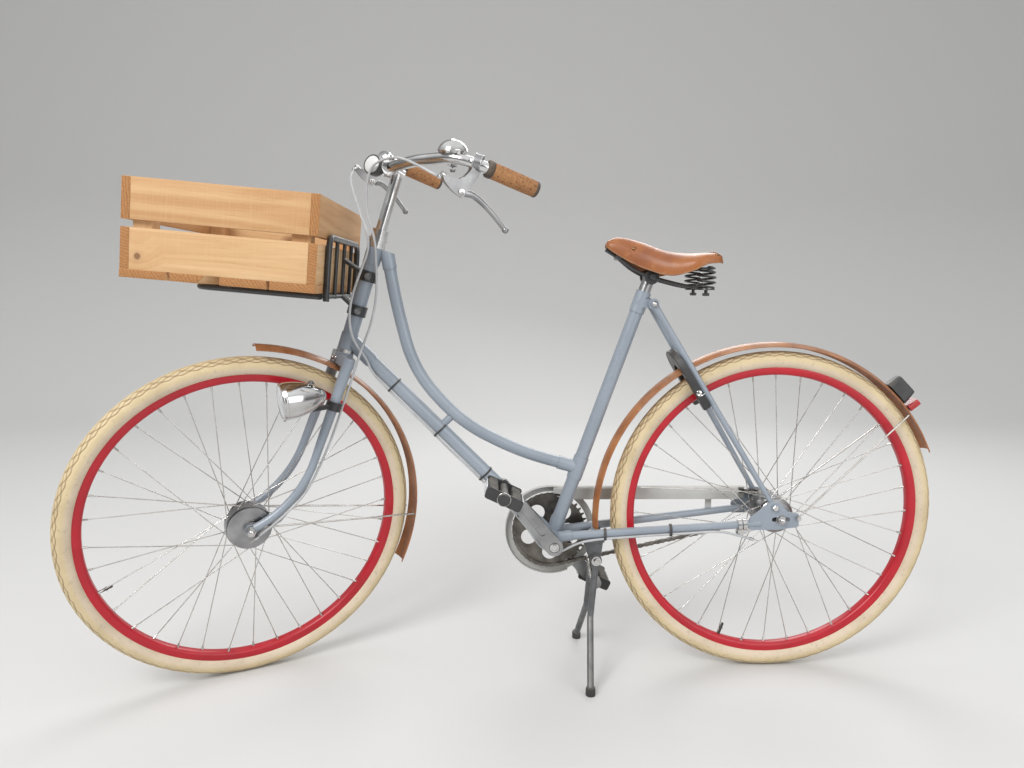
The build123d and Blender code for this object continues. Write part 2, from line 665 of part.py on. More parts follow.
# Chain guard: a ring round the chainring and a run above the chain
guard_ring_inner = ring_pitch_radius + 4.6
guard_ring_outer = guard_ring_inner + 14.5
guard_face = chain_line + 8.0
guard_sheet = 1.5
guard_lip = 11.0
run_top = wheel_radius + 42.0
run_low = run_top - 28.0
run_end = rear_axle.X - 40.0
arm_radius = 2.5
tie_x = -120.0
tie_half = 7.0
with BuildPart() as chain_guard:
    with BuildSketch(Plane.XZ.offset(-guard_face)) as guard_outline:
        with Locations((bracket.X, bracket.Z)):
            Circle(guard_ring_outer)
        with BuildLine():
            Polyline((bracket.X, run_top), (run_end, run_top), (run_end, run_low), (bracket.X + 60, run_low),
                     (bracket.X, run_low), close=True)
        make_face()
        with Locations((bracket.X, bracket.Z)):
            Circle(guard_ring_inner, mode=Mode.SUBTRACT)
    extrude(amount=-guard_sheet)
    with BuildSketch(Plane.XZ.offset(-guard_face)):
        add(guard_outline.sketch)
        offset(guard_outline.sketch, amount=-guard_sheet, mode=Mode.SUBTRACT)
        with Locations((bracket.X, bracket.Z)):
            Circle(guard_ring_inner + 6, mode=Mode.SUBTRACT)
        with Locations(((bracket.X + run_end) / 2 + 40, run_low - 90)):
            Rectangle(run_end - bracket.X, 192, mode=Mode.SUBTRACT)
        with Locations((run_end, run_top - guard_sheet - 20)):
            Rectangle(30, 40, mode=Mode.SUBTRACT)
    extrude(amount=guard_lip)
    arm_height = run_top - guard_sheet - arm_radius - 0.5
    arm_x = bracket.X + (arm_height - bracket.Z) / math.tan(math.radians(seat_angle))
    add(rod(Vector(arm_x, 8, arm_height), Vector(arm_x, guard_face, arm_height), arm_radius))
    tie_stay = stay_front + (stay_rear - stay_front) * ((tie_x - stay_front.X) / (stay_rear.X - stay_front.X))
    tie_low = tie_stay.Z + chain_stay_radius - 2
    with BuildSketch(Plane.XZ.offset(-guard_face)):
        with Locations((tie_x, (run_low + 2 + tie_low) / 2)):
            Rectangle(2 * tie_half, run_low + 2 - tie_low)
    extrude(amount=-guard_sheet)
    add(seat_solid, mode=Mode.SUBTRACT)
    add(chain_stays.part, mode=Mode.SUBTRACT)
pieces["chain_guard"] = chain_guard.part

# Stand bracket under the chain stays, with the pin that the legs turn on
stand_pivot = bracket + Vector(93, 0, -42)
stand_pin_radius = 6.0
boss_half = 23.0
boss_radius = 13.0
leg_inner = boss_half + 0.5
leg_eye = 13.0
plate_rise = 45.0
plate_lean = -6.0
plate_depth = 46.0
plate_width = 72.0
plate_height = 10.0
bracket_outline = ((-12, 4), (12, 4), (17, plate_rise), (-29, plate_rise - 4))
with BuildPart() as stand_bracket:
    add(rod(stand_pivot - side * boss_half, stand_pivot + side * boss_half, boss_radius))
    pin_half = leg_inner + leg_eye + 3
    add(rod(stand_pivot - side * pin_half, stand_pivot + side * pin_half, stand_pin_radius))
    with BuildSketch(Plane(origin=stand_pivot - side * boss_half, x_dir=(1, 0, 0), z_dir=(0, -1, 0))):
        Polygon(*bracket_outline, align=None)
    extrude(amount=-2 * boss_half)
    with Locations(stand_pivot + Vector(plate_lean, 0, plate_rise)):
        Box(plate_depth, plate_width, plate_height)
    add(chain_stays.part, mode=Mode.SUBTRACT)
pieces["stand_bracket"] = stand_bracket.part

# Front carrier on the head tube, tipped up a little at the front
carrier_tilt = 4.8
carrier_tube = 6.0
carrier_bar = 4.0
rear_bar_radius = 5.7
carrier_half = 150.0
carrier_length = 230.0
carrier_corner = 30.0
carrier_bars = (-75, 0, 75)
carrier_rear = steer_at(head_low + 98.7, 50.7)
carrier_ahead = direction(180 - carrier_tilt)
carrier_up = direction(90 - carrier_tilt)


def on_carrier(ahead, right, up):
    """Point of the carrier, ahead of its rear bar, to the right and above its tubes."""
    return carrier_rear + carrier_ahead * ahead + side * right + carrier_up * up


with BuildPart() as carrier_platform:
    loop = [on_carrier(ahead, right, 0) for ahead, right in (
        (0, -carrier_half), (carrier_length, -carrier_half), (carrier_length, carrier_half), (0, carrier_half))]
    add(bent_rod(loop, carrier_tube, [carrier_corner] * 2))
    add(rod(on_carrier(0, -carrier_half, 0), on_carrier(0, carrier_half, 0), rear_bar_radius))
    for right in carrier_bars:
        add(rod(on_carrier(0, right, 0), on_carrier(carrier_length, right, 0), carrier_bar))
pieces["carrier_platform"] = carrier_platform.part

hoop_height = 112.0
hoop_foot = -8.0
hoop_step = 2 * carrier_tube + seat_gap
hoop_corner = 25.0
with BuildPart() as carrier_hoop:
    hoop = [on_carrier(-hoop_step, right, up) for right, up in (
        (-carrier_half, hoop_foot), (-carrier_half, hoop_height), (carrier_half, hoop_height),
        (carrier_half, hoop_foot))]
    add(bent_rod(hoop, carrier_tube, [hoop_corner] * 2))
    for right in carrier_bars:
        add(rod(on_carrier(-hoop_step, right, -carrier_bar), on_carrier(-hoop_step, right, hoop_height), carrier_bar))
    add(rod(on_carrier(-hoop_step, -carrier_half, 0), on_carrier(-hoop_step, carrier_half, 0), carrier_bar))
pieces["carrier_hoop"] = carrier_hoop.part

# Two clamps that hold the hoop to the head tube: (along from the head tube's foot, height on the hoop)
clamp_places = ((84.0, 0.0), (158.0, 74.0))
clamp_ring_half = 11.0
clamp_ring_wall = 4.0
clamp_arm_half = 12.0
with BuildPart() as carrier_clamps:
    for along, up in clamp_places:
        spot = steer_at(head_low + along)
        add(rod(spot - steer_up * clamp_ring_half, spot + steer_up * clamp_ring_half,
                head_tube_radius + clamp_ring_wall))
        for right in (-clamp_arm_half, clamp_arm_half):
            add(rod(spot + side * right, on_carrier(-hoop_step - 3, right, up), carrier_bar))
    add(rod(steer_at(head_low), steer_at(head_high), head_tube_radius), mode=Mode.SUBTRACT)
    add(top_tube.part, mode=Mode.SUBTRACT)
    add(carrier_hoop.part, mode=Mode.SUBTRACT)
pieces["carrier_clamps"] = carrier_clamps.part

# Wooden crate on the carrier: boards on four corner posts
crate_length = 346.0
crate_width = 430.0
board_wall = 13.0
end_wall = 16.0
floor_wall = 15.0
board_gap = 13.0
board_height = 74.0
post_size = 34.0
post_drop = 2.0
floor_boards = 4
floor_gap = 6.0
crate_ahead = -6.0
crate_floor_up = carrier_tube + seat_gap
crate_side_up = crate_floor_up + floor_wall
crate_height = 2 * board_height + board_gap
crate_half = crate_width / 2


def crate_block(ahead, right, up, length, width, height):
    """Board of the crate, from its lowest corner at the rear left."""
    corner = on_carrier(crate_ahead + ahead, right, up)
    with BuildPart() as piece:
        with BuildSketch(Plane(origin=corner, x_dir=carrier_ahead, z_dir=carrier_up)):
            with Locations((length / 2, -width / 2)):
                Rectangle(length, width)
        extrude(amount=height)
    return piece.part


board_lows = (crate_side_up, crate_side_up + board_height + board_gap)
with BuildPart() as crate_sides:
    for right in (-crate_half, crate_half - board_wall):
        for up in board_lows:
            add(crate_block(end_wall, right, up, crate_length - 2 * end_wall, board_wall, board_height))
pieces["crate_sides"] = crate_sides.part
with BuildPart() as crate_ends:
    for ahead in (0, crate_length - end_wall):
        for up in board_lows:
            add(crate_block(ahead, -crate_half, up, end_wall, crate_width, board_height))
pieces["crate_ends"] = crate_ends.part
with BuildPart() as crate_posts:
    for ahead in (end_wall, crate_length - end_wall - post_size):
        for right in (-crate_half + board_wall, crate_half - board_wall - post_size):
            add(crate_block(ahead, right, crate_side_up, post_size, post_size, crate_height - post_drop))
pieces["crate_posts"] = crate_posts.part
floor_width = (crate_length - (floor_boards - 1) * floor_gap) / floor_boards
with BuildPart() as crate_floor:
    for index in range(floor_boards):
        add(crate_block(index * (floor_width + floor_gap), -crate_half, crate_floor_up, floor_width,
                        crate_width, floor_wall))
pieces["crate_floor"] = crate_floor.part


# Wheels
tyre_flats = 11
tyre_foot = rim_radius + seat_gap
tyre_foot_angle = math.degrees(math.acos((tyre_foot - ring_radius) / tyre_radius))


def wheel_pieces(centre):
    """Tyre and rim of one wheel about its centre."""
    section = Plane(origin=centre, x_dir=(1, 0, 0), z_dir=(0, 0, 1))
    axle_line = Axis(centre, side)
    rim_half = rim_width / 2
    bead_half = rim_half - rim_wall - seat_gap
    bead_low = rim_radius - rim_bed_depth + seat_gap
    turns = [math.radians(tyre_foot_angle * (2 * step / tyre_flats - 1)) for step in range(tyre_flats + 1)]
    outside = [(ring_radius + tyre_radius * math.cos(turn), tyre_radius * math.sin(turn)) for turn in turns]
    core = tyre_radius - tyre_wall
    inside = [(ring_radius + core * math.cos(turn), core * math.sin(turn)) for turn in reversed(turns[1:-1:2])]
    bead_inner = bead_half - tyre_wall
    outline = [
        (bead_low, -bead_half), (tyre_foot, -bead_half), *outside, (tyre_foot, bead_half), (bead_low, bead_half),
        (bead_low, bead_inner), (tyre_foot + tyre_wall, bead_inner), *inside,
        (tyre_foot + tyre_wall, -bead_inner), (bead_low, -bead_inner),
    ]
    with BuildPart() as tyre:
        with BuildSketch(section):
            Polygon(*outline, align=None)
        revolve(axis=axle_line)
    with BuildPart() as rim:
        with BuildSketch(section):
            Polygon((rim_radius, -rim_half), (rim_radius - rim_depth + 4, -rim_half + 1),
                    (rim_radius - rim_depth, -rim_half + 6), (rim_radius - rim_depth, rim_half - 6),
                    (rim_radius - rim_depth + 4, rim_half - 1), (rim_radius, rim_half), align=None)
            with Locations((rim_radius - rim_bed_depth / 2, 0)):
                Rectangle(rim_bed_depth, rim_width - 2 * rim_wall, mode=Mode.SUBTRACT)
        revolve(axis=axle_line)
    return tyre.part, rim.part


spoke_cross = 60.0
flange_step = 2.4
rim_step = 1.3


def spokes(centre, left, right):
    """Spokes from the two hub flanges to the rim; a flange is (place, radius)."""
    rim_end = rim_radius - rim_depth + 1
    step = 720.0 / spoke_count
    with BuildPart() as wires:
        for (place, radius), shift in ((left, 0.0), (right, step / 2)):
            outward = 1 if place > 0 else -1
            for index in range(spoke_count // 2):
                sign = 1 if index % 2 else -1
                angle = shift + index * step
                hub = centre + direction(angle) * radius + side * (place + sign * flange_step)
                far = centre + direction(angle + sign * spoke_cross) * rim_end
                far = far + side * (outward * 3.0 + sign * rim_step)
                add(rod(hub, far, spoke_radius))
    return wires.part


def hub_shell(centre, outline, bore):
    """Turned hub from (place, radius) points, bored for its axle."""
    with BuildPart() as shell:
        with BuildSketch(Plane(origin=centre, x_dir=(0, 1, 0), z_dir=(1, 0, 0))):
            Polygon((outline[0][0], bore), *outline, (outline[-1][0], bore), align=None)
        revolve(axis=Axis(centre, side))
    return shell.part


# Rear wheel with its drum brake hub and sprocket
hub_bore = axle_radius + running_gap
rear_tyre, rear_rim = wheel_pieces(rear_axle)
pieces["rear_tyre"] = rear_tyre
pieces["rear_rim"] = rear_rim
rear_flange = 31.0
rear_flange_radius = 34.0
sprocket_bore = 20.0
rear_hub_outline = (
    (-43.5, 15), (-42, 30), (-36, 36), (-34, 30), (-rear_flange - 1.5, 30), (-rear_flange - 1.5, 38),
    (-rear_flange + 1.5, 38), (-rear_flange + 4, 24), (rear_flange - 4, 24), (rear_flange - 1.5, 38),
    (rear_flange + 1.5, 38), (rear_flange + 1.5, sprocket_bore), (chain_line + 2, sprocket_bore),
    (chain_line + 2, 13), (54, 13),
)
with BuildPart() as rear_hub:
    add(hub_shell(rear_axle, rear_hub_outline, hub_bore))
    add(tooth_ring(rear_axle + side * chain_line, sprocket_teeth, sprocket_pitch_radius, sprocket_bore - 1))
pieces["rear_hub"] = rear_hub.part
with BuildPart() as rear_spokes:
    add(spokes(rear_axle, (-rear_flange, rear_flange_radius), (rear_flange, rear_flange_radius)))
    add(rear_hub.part, mode=Mode.SUBTRACT)
    add(rear_rim, mode=Mode.SUBTRACT)
pieces["rear_spokes"] = rear_spokes.part

# Front wheel with its drum brake hub
front_tyre, front_rim = wheel_pieces(front_axle)
turned_pieces["front_tyre"] = front_tyre
turned_pieces["front_rim"] = front_rim
front_flange = 28.0
drum_flange_radius = 44.0
front_flange_radius = 28.0
front_hub_outline = (
    (-36, 46), (-12, 46), (-8, 18), (front_flange - 4, 18), (front_flange - 1.5, 32),
    (front_flange + 1.5, 32), (front_flange + 1.5, 16), (44, 14),
)
turned_pieces["front_hub"] = hub_shell(front_axle, front_hub_outline, hub_bore)
with BuildPart() as front_spokes:
    add(spokes(front_axle, (-front_flange, drum_flange_radius), (front_flange, front_flange_radius)))
    add(turned_pieces["front_hub"], mode=Mode.SUBTRACT)
    add(front_rim, mode=Mode.SUBTRACT)
turned_pieces["front_spokes"] = front_spokes.part

# Fork: steerer, crown and two blades that sweep forward at their ends
shoulder_half = 40.0
shoulder_radius = 13.0
blade_half = fork_end_inner + fork_end_wall / 2
blade_end_radius = 8.5
bend_along = 165.0
bend_ahead = 14.0
steerer_top = head_high + 34.0
fork_eye_radius = 12.0
race_radius = 19.0
crown_round = 3.0


def blade_at(along, out):
    """Point on the straight upper part of a fork blade."""
    share = (crown_along - along) / (crown_along - bend_along)
    return steer_at(along, bend_ahead * share, out * (shoulder_half + (blade_half - shoulder_half) * share))


crown_plane = Plane(origin=steer_at(crown_along - crown_half), x_dir=side, z_dir=steer_up)
with BuildPart() as crown:
    add(hull_plate(crown_plane, ((-shoulder_half, 0, shoulder_radius), (0, 0, crown_radius),
                                 (shoulder_half, 0, shoulder_radius)), 2 * crown_half))
    fillet(crown.faces().filter_by(Axis(steer_foot, steer_up)).edges(), crown_round)
with BuildPart() as fork:
    add(crown.part)
    add(rod(steer_at(crown_along), steer_at(steerer_top), steerer_radius))
    add(rod(steer_at(crown_along), steer_at(head_low - cup_height - seat_gap), race_radius))
    for out in (-1, 1):
        bend = blade_at(bend_along, out)
        add(cone(blade_at(crown_along, out), bend, shoulder_radius - 0.5, blade_end_radius))
        with BuildLine() as sweep_line:
            TangentArc(bend, steer_at(6, fork_rake - 6, out * blade_half), tangent=bend - blade_at(crown_along, out))
        with BuildSketch(Plane(origin=bend, z_dir=sweep_line.line % 0)):
            Circle(blade_end_radius)
        sweep(path=sweep_line.line)
        add(rod(front_axle + side * out * fork_end_inner, front_axle + side * out * (fork_end_inner + fork_end_wall),
                fork_eye_radius))
    add(rod(front_axle - side * fork_end_inner, front_axle + side * fork_end_inner, 30), mode=Mode.SUBTRACT)
    add(rod(front_axle - side * 90, front_axle + side * 90, axle_radius), mode=Mode.SUBTRACT)
turned_pieces["fork"] = fork.part

# Front axle with its nuts
front_nut_face = fork_end_inner + fork_end_wall + 4.6
with BuildPart() as front_axle_nuts:
    add(rod(front_axle - side * front_axle_half, front_axle + side * front_axle_half, axle_radius))
    for out in (-1, 1):
        face = front_axle + side * out * front_nut_face
        with BuildSketch(Plane(origin=face, x_dir=(1, 0, 0), z_dir=side * out)):
            RegularPolygon(nut_radius, 6)
        extrude(amount=nut_height)
    add(fork.part, mode=Mode.SUBTRACT)
turned_pieces["front_axle_nuts"] = front_axle_nuts.part

# Fixed plate of the drum brake with its cable lever and the torque arm, strapped to the left blade
plate_radius = 44.0
arm_strip = 4.0
arm_inner = fork_end_inner - seat_gap - arm_strip
# along the steering, ahead of it, half height of the strip
torque_arm = ((0, fork_rake - 4, 16), (-3, 88, 8), (30, 50, 7), (95, 20, 7), (142, 14, 7))
strap_along = 142.0
strap_half = 6.0
strap_wall = 2.0
pull_tip = (-16, fork_rake - 14, 6)
with BuildPart() as brake_plate:
    add(rod(front_axle - side * (arm_inner - 3), front_axle - side * (arm_inner - 8), plate_radius, axle_radius))
    add(rod(front_axle - side * arm_inner, front_axle - side * (arm_inner - 3), 14, axle_radius))
    arm_plane = Plane(origin=steer_at(0, 0, -arm_inner), x_dir=steer_up, z_dir=side * -1)
    for (along, ahead, half), (next_along, next_ahead, next_half) in zip(torque_arm, torque_arm[1:]):
        add(hull_plate(arm_plane, ((along, ahead, half), (next_along, next_ahead, next_half)), arm_strip))
    add(hull_plate(arm_plane, ((0, fork_rake, 12), pull_tip), arm_strip))
    add(rod(front_axle - side * 90, front_axle + side * 90, axle_radius), mode=Mode.SUBTRACT)
    add(fork.part, mode=Mode.SUBTRACT)
turned_pieces["brake_plate"] = brake_plate.part

# Front mudguard
front_guard_first = -25.0
front_guard_last = 85.0
with BuildPart() as front_mudguard:
    add(mudguard(front_axle, front_guard_radius, front_guard_first, front_guard_last))
    add(fork.part, mode=Mode.SUBTRACT)
turned_pieces["front_mudguard"] = front_mudguard.part
front_wire_angle = -6.0
with BuildPart() as front_guard_stays:
    for out in (-1, 1):
        tab = front_axle + Vector(14, out * (fork_end_inner + fork_end_wall + wire_radius + 1), 6)
        edge = front_axle + direction(front_wire_angle) * (front_guard_radius - guard_edge)
        add(rod(tab, edge + side * out * (guard_width / 2 + wire_radius), wire_radius))
    add(fork.part, mode=Mode.SUBTRACT)
turned_pieces["front_guard_stays"] = front_guard_stays.part

# Headlamp on the left blade, with its lens
lamp_along = 278.0
lamp_ahead = 118.5
lamp_out = 74.0
lamp_radius = 35.0
lamp_length = 88.0
glass_radius = 31.0
glass_depth = 4.0
lamp_centre = steer_at(lamp_along, lamp_ahead, -lamp_out)
lamp_line = Vector(84, 0, 6).normalized()
lamp_across = side.cross(lamp_line)
lamp_section = Plane(origin=lamp_centre, x_dir=lamp_line, z_dir=side)
with BuildPart() as lamp_glass:
    with BuildSketch(lamp_section):
        with BuildLine():
            dome = ThreePointArc((-glass_depth, 1), (-0.75 * glass_depth, glass_radius / 2), (0, glass_radius))
            Polyline(dome @ 1, (glass_depth, glass_radius), (glass_depth, 0), (-glass_depth, 0), dome @ 0)
        make_face()
    revolve(axis=Axis(lamp_centre, lamp_line))
with BuildPart() as headlamp:
    with BuildSketch(lamp_section):
        with BuildLine():
            Polyline((0, 0), (0, lamp_radius), (5, lamp_radius + 2))
            body = ThreePointArc((5, lamp_radius + 2), (0.52 * lamp_length, 31.5), (0.87 * lamp_length, 16))
            nose = ThreePointArc(body @ 1, (0.97 * lamp_length, 9), (lamp_length, 1.5))
            Polyline(nose @ 1, (lamp_length, 0), (0, 0))
        make_face()
    revolve(axis=Axis(lamp_centre, lamp_line))
    add(rod(lamp_centre - lamp_line, lamp_centre + lamp_line * glass_depth, glass_radius), mode=Mode.SUBTRACT)
turned_pieces["headlamp"] = headlamp.part
band_along = crown_along - 92.0
band_half = 9.0
band_wall = 3.0
band_centre = blade_at(band_along, -1)
blade_line = (blade_at(bend_along, -1) - blade_at(crown_along, -1)).normalized()
with BuildPart() as lamp_bracket:
    add(rod(band_centre - blade_line * band_half, band_centre + blade_line * band_half, shoulder_radius + band_wall))
    add(rod(lamp_centre + lamp_line * 60 + lamp_across * 26, band_centre, 5.0))
    add(headlamp.part, mode=Mode.SUBTRACT)
    add(fork.part, mode=Mode.SUBTRACT)
turned_pieces["lamp_bracket"] = lamp_bracket.part

# Headset top nuts and stem with its clamp
quill_radius = 11.1
bar_radius = 11.1
extension_back = 12.0
stem_clamp_half = 20.0
stem_clamp_radius = 17.0
lock_nut_top = steerer_top + 4.0
# start and end above the head tube, radius
headset_stack = ((cup_height + seat_gap, 16.0, 17.5), (16.0, 20.0, 19.0), (20.0, 38.0, 16.5))
with BuildPart() as stem:
    for low, high, radius in headset_stack:
        add(rod(steer_at(head_high + low), steer_at(head_high + high), radius))
    add(rod(steer_at(head_high), steer_at(steerer_top + seat_gap), steerer_radius), mode=Mode.SUBTRACT)
    add(rod(steer_at(steerer_top + 1), steer_at(bar_along - 4), quill_radius))
    add(rod(steer_at(bar_along - 6, -extension_back), steer_at(bar_along, bar_ahead), quill_radius))
    add(rod(steer_at(bar_along, bar_ahead, -stem_clamp_half), steer_at(bar_along, bar_ahead, stem_clamp_half),
            stem_clamp_radius))
    add(rod(steer_at(bar_along - 6, bar_ahead + 2, -7), steer_at(bar_along - 6, bar_ahead + 2, 7), 15))
    add(rod(steer_at(bar_along, bar_ahead, -40), steer_at(bar_along, bar_ahead, 40), bar_radius),
        mode=Mode.SUBTRACT)
turned_pieces["stem"] = stem.part

# Handlebar, swept back to the grips; its points are (behind, out, above) the clamp
bar_centre = steer_at(bar_along, bar_ahead)
bar_points = ((209.9, 240, -30.8), (106.9, 229, 5.2), (59.9, 196, 20.2), (19.9, 112, 12.2), (0, 36, 0))
bar_bends = (60, 70, 200, 100, 100, 200, 70, 60)
left_half = [bar_centre + Vector(x, -y, z) for x, y, z in bar_points]
right_half = [bar_centre + Vector(x, y, z) for x, y, z in reversed(bar_points)]
with BuildPart() as handlebar:
    add(bent_rod(left_half + right_half, bar_radius, bar_bends))
turned_pieces["handlebar"] = handlebar.part

# Cork grips
grip_radius = 15.5
with BuildPart() as grips:
    for tip, root in ((left_half[0], left_half[1]), (right_half[-1], right_half[-2])):
        along = (tip - root).normalized()
        add(rod(root + along * 6, tip + along * 4, grip_radius))
    add(handlebar.part, mode=Mode.SUBTRACT)
turned_pieces["grips"] = grips.part

# Brake levers: a curved casting clamped to the bar and a blade that ends in a ball.
# The casting's outline is (behind, above) the clamp, from the rear edge round to the front arm.
casting_rear = ((10, -4), (1, -22), (-20.5, -50))
casting_foot = ((-31.5, -63), (-52, -50), (-68, -33))
casting_arm = ((-71, -24), (-58, -26))
casting_top = ((-37.5, -30), (-19, -17), (-10, 4))
casting_wall = 12.0
blade_points = ((-26, 0, -55), (-6, 3, -60), (22, 9, -84), (52, 15, -118))
blade_ball = 6.4
lever_places = ((-1, 98.4, 222.0, 12.0), (1, 66.0, 204.0, 20.0))
with BuildPart() as brake_levers:
    for out, behind, reach, above in lever_places:
        spot = bar_centre + Vector(behind, out * reach, above)
        with BuildSketch(Plane(origin=spot + side * casting_wall / 2, x_dir=(1, 0, 0), z_dir=(0, -1, 0))):
            with BuildLine():
                ThreePointArc(*casting_rear)
                Line(casting_rear[-1], casting_foot[0])
                ThreePointArc(*casting_foot)
                Polyline(casting_foot[-1], *casting_arm, casting_top[0])
                ThreePointArc(*casting_top)
                Line(casting_top[-1], casting_rear[0])
            make_face()
        extrude(amount=casting_wall)
        along = Vector(47, -out * -33, -15).normalized()
        add(rod(spot - along * 8, spot + along * 8, bar_radius + 4))
        route = [spot + Vector(x, out * y, z) for x, y, z in blade_points]
        add(bent_rod(route, 4.5))
        blade_line = (route[-1] - route[-2]).normalized()
        ball_place = Plane(origin=route[-1] + blade_line * 2, z_dir=blade_line).location
        add(Sphere(blade_ball, mode=Mode.PRIVATE).moved(ball_place))
    add(handlebar.part, mode=Mode.SUBTRACT)
    add(grips.part, mode=Mode.SUBTRACT)
turned_pieces["brake_levers"] = brake_levers.part

# Bell: a base and a dome on a clamp
bell_centre = bar_centre + Vector(66.0, -180, 27.0)
bell_radius = 28.0
bell_height = 24.0
with BuildPart() as bell:
    with BuildSketch(Plane(origin=bell_centre, x_dir=(1, 0, 0), z_dir=(0, -1, 0))):
        with BuildLine():
            Polyline((0, 0), (bell_radius - 3, 0), (bell_radius, 5))
            dome = ThreePointArc((bell_radius, 5), (0.72 * bell_radius, 0.76 * bell_height), (1.5, bell_height))
            Polyline(dome @ 1, (0, bell_height), (0, 0))
        make_face()
    revolve(axis=Axis(bell_centre, (0, 0, 1)))
    add(rod(bell_centre - Vector(0, 0, 16), bell_centre + Vector(0, 0, 2), 5.0))
    add(rod(bell_centre + Vector(-7, 3, -10), bell_centre + Vector(7, -6, -11), bar_radius + 3))
    add(handlebar.part, mode=Mode.SUBTRACT)
turned_pieces["bell"] = bell.part

# Small round light strapped to the bar at the stem
disc_centre = bar_centre + Vector(-17.0, 0, -4.0)
disc_line = Vector(-0.905, -0.116, 0.42).normalized()
disc_radius = 20.0
disc_wall = 14.0
disc_glass = 17.0
disc_back = disc_centre - disc_line * 4
with BuildPart() as bar_lamp:
    add(rod(disc_back, disc_back + disc_line * disc_wall, disc_radius))
    add(rod(disc_back + disc_line * (disc_wall - 3), disc_back + disc_line * (disc_wall + 9), disc_glass),
        mode=Mode.SUBTRACT)
    add(stem.part, mode=Mode.SUBTRACT)
    add(handlebar.part, mode=Mode.SUBTRACT)
turned_pieces["bar_lamp"] = bar_lamp.part
with BuildPart() as lamp_lenses:
    add(lamp_glass.part)
    add(rod(disc_back + disc_line * (disc_wall - 3), disc_back + disc_line * disc_wall, disc_glass))
turned_pieces["lamp_lenses"] = lamp_lenses.part

# Front brake cable, from the left lever past the headset and down behind the left blade.
# along the steering, ahead of it, to the right
front_cable_route = (
    (773.9, -4.1, -215),
    (776, -8, -190),
    (787, 15, -145),
    (795, 30, -95),
    (793, 42, -60),
    (780, 56, -32),
    (763, 61, -15),
    (738, 59, -8),
    (703, 49, -5),
    (667, 34, -8),
    (636, 14, -20),
    (591, 1, -30),
    (537, -18, -30),
    (476, -22, -44),
    (418, -16.5, -47),
    (388, -14, -49.7),
    (340, -15, -46),
    (286, -14, -42),
    (212, -8, -50),
    (141.5, 2.5, -55),
    (98, 14, -60),
    (59, 38, -65),
    (28, 58, -64),
    (2, 76, -60),
    (-16, 88, -56),
)
turned_pieces["front_brake_cable"] = cable([steer_at(*spot) for spot in front_cable_route])

# Rear brake cable: its upper end turns with the bars, the rest lies on the frame
# along the steering, ahead of it, to the right
rear_cable_top = (
    (770.7, 33.5, 195),
    (751.8, 48.3, 160),
    (724, 46.9, 120),
    (686.5, 36.2, 72),
    (657, 27, 36),
    (637, 23, 2),
)
# along the down tube, below its axis, to the right
rear_cable_down = ((82, 14, -15), (115, 17.5, -6.5), (170, 18.2, -8), (235, 17, -5), (305, 18.2, -7.5),
                   (375, 17, -5), (440, 17.4, -8), (505, 18, -7))
# behind the bottom bracket's axis, to the right, above it
rear_cable_bracket = ((-46, -9, 12), (-24, -14, -22), (10, -24, -31), (51, -39, -2))
# along the left chain stay as a share of it, out from its axis, below it
rear_cable_stay = ((0.178, 10.4, 8.8), (0.33, 8.7, 8.7), (0.49, 9.2, 8.0), (0.65, 8.6, 9.0), (0.803, 9.1, 8.1),
                   (0.9, 1.5, 24))
rear_cable_end = Vector(-52, -52, -47)
down_below = Vector(down_line.Z, 0, -down_line.X)
stay_line = left_rear - left_front
rear_route = [steer_foot + (steer_at(*spot) - steer_foot).rotate(steer_axis, rest_steering)
              for spot in rear_cable_top]
rear_route += [Vector(-856, -22, 907), Vector(-869, -32, 870), Vector(-887, -38, 821), Vector(-896, -40, 779),
               Vector(-895, -34, 737), Vector(-883, -26, 706), Vector(-866, -22, 684)]
rear_route += [down_tube_top + down_line * t + down_below * low + side * right for t, low, right in rear_cable_down]
rear_route += [bracket + Vector(*spot) for spot in rear_cable_bracket]
rear_route += [left_front + stay_line * share - side * out - Vector(0, 0, low) for share, out, low in rear_cable_stay]
rear_route.append(rear_axle + rear_cable_end)
pieces["rear_brake_cable"] = cable(rear_route)

# Crankset: spindle and two tapered arms, grooved along their outer faces
arm_out = direction(180 - crank_lift)
arm_end = arm_out * crank_length
arm_root_radius = 18.0
arm_tip_radius = 13.0
groove_depth = 3.0
groove_width = 11.0
cap_radius = 11.0
pedal_axle_radius = 4.5
pedal_start = crank_inner + crank_wall + 8
with BuildPart() as crankset:
    add(rod(bracket - side * (crank_inner + 2), bracket + side * (crank_inner + 2), spindle_radius))
    for out in (-1, 1):
        base = Plane(origin=bracket + side * out * crank_inner, x_dir=arm_out * -out, z_dir=side * out)
        add(hull_plate(base, ((0, 0, arm_root_radius), (crank_length, 0, arm_tip_radius)), crank_wall))
        with BuildSketch(base.offset(crank_wall)):
            SlotCenterToCenter(crank_length - 70, groove_width, mode=Mode.PRIVATE)
            with Locations((crank_length / 2 + 3, 0)):
                SlotCenterToCenter(crank_length - 74, groove_width)
        extrude(amount=-groove_depth, mode=Mode.SUBTRACT)
        with BuildSketch(base.offset(crank_wall)):
            Circle(cap_radius)
        extrude(amount=-groove_depth, mode=Mode.SUBTRACT)
        eye = bracket + arm_end * -out
        add(rod(eye + side * out * crank_inner, eye + side * out * (pedal_start + pedal_length), pedal_axle_radius))
pieces["crankset"] = crankset.part

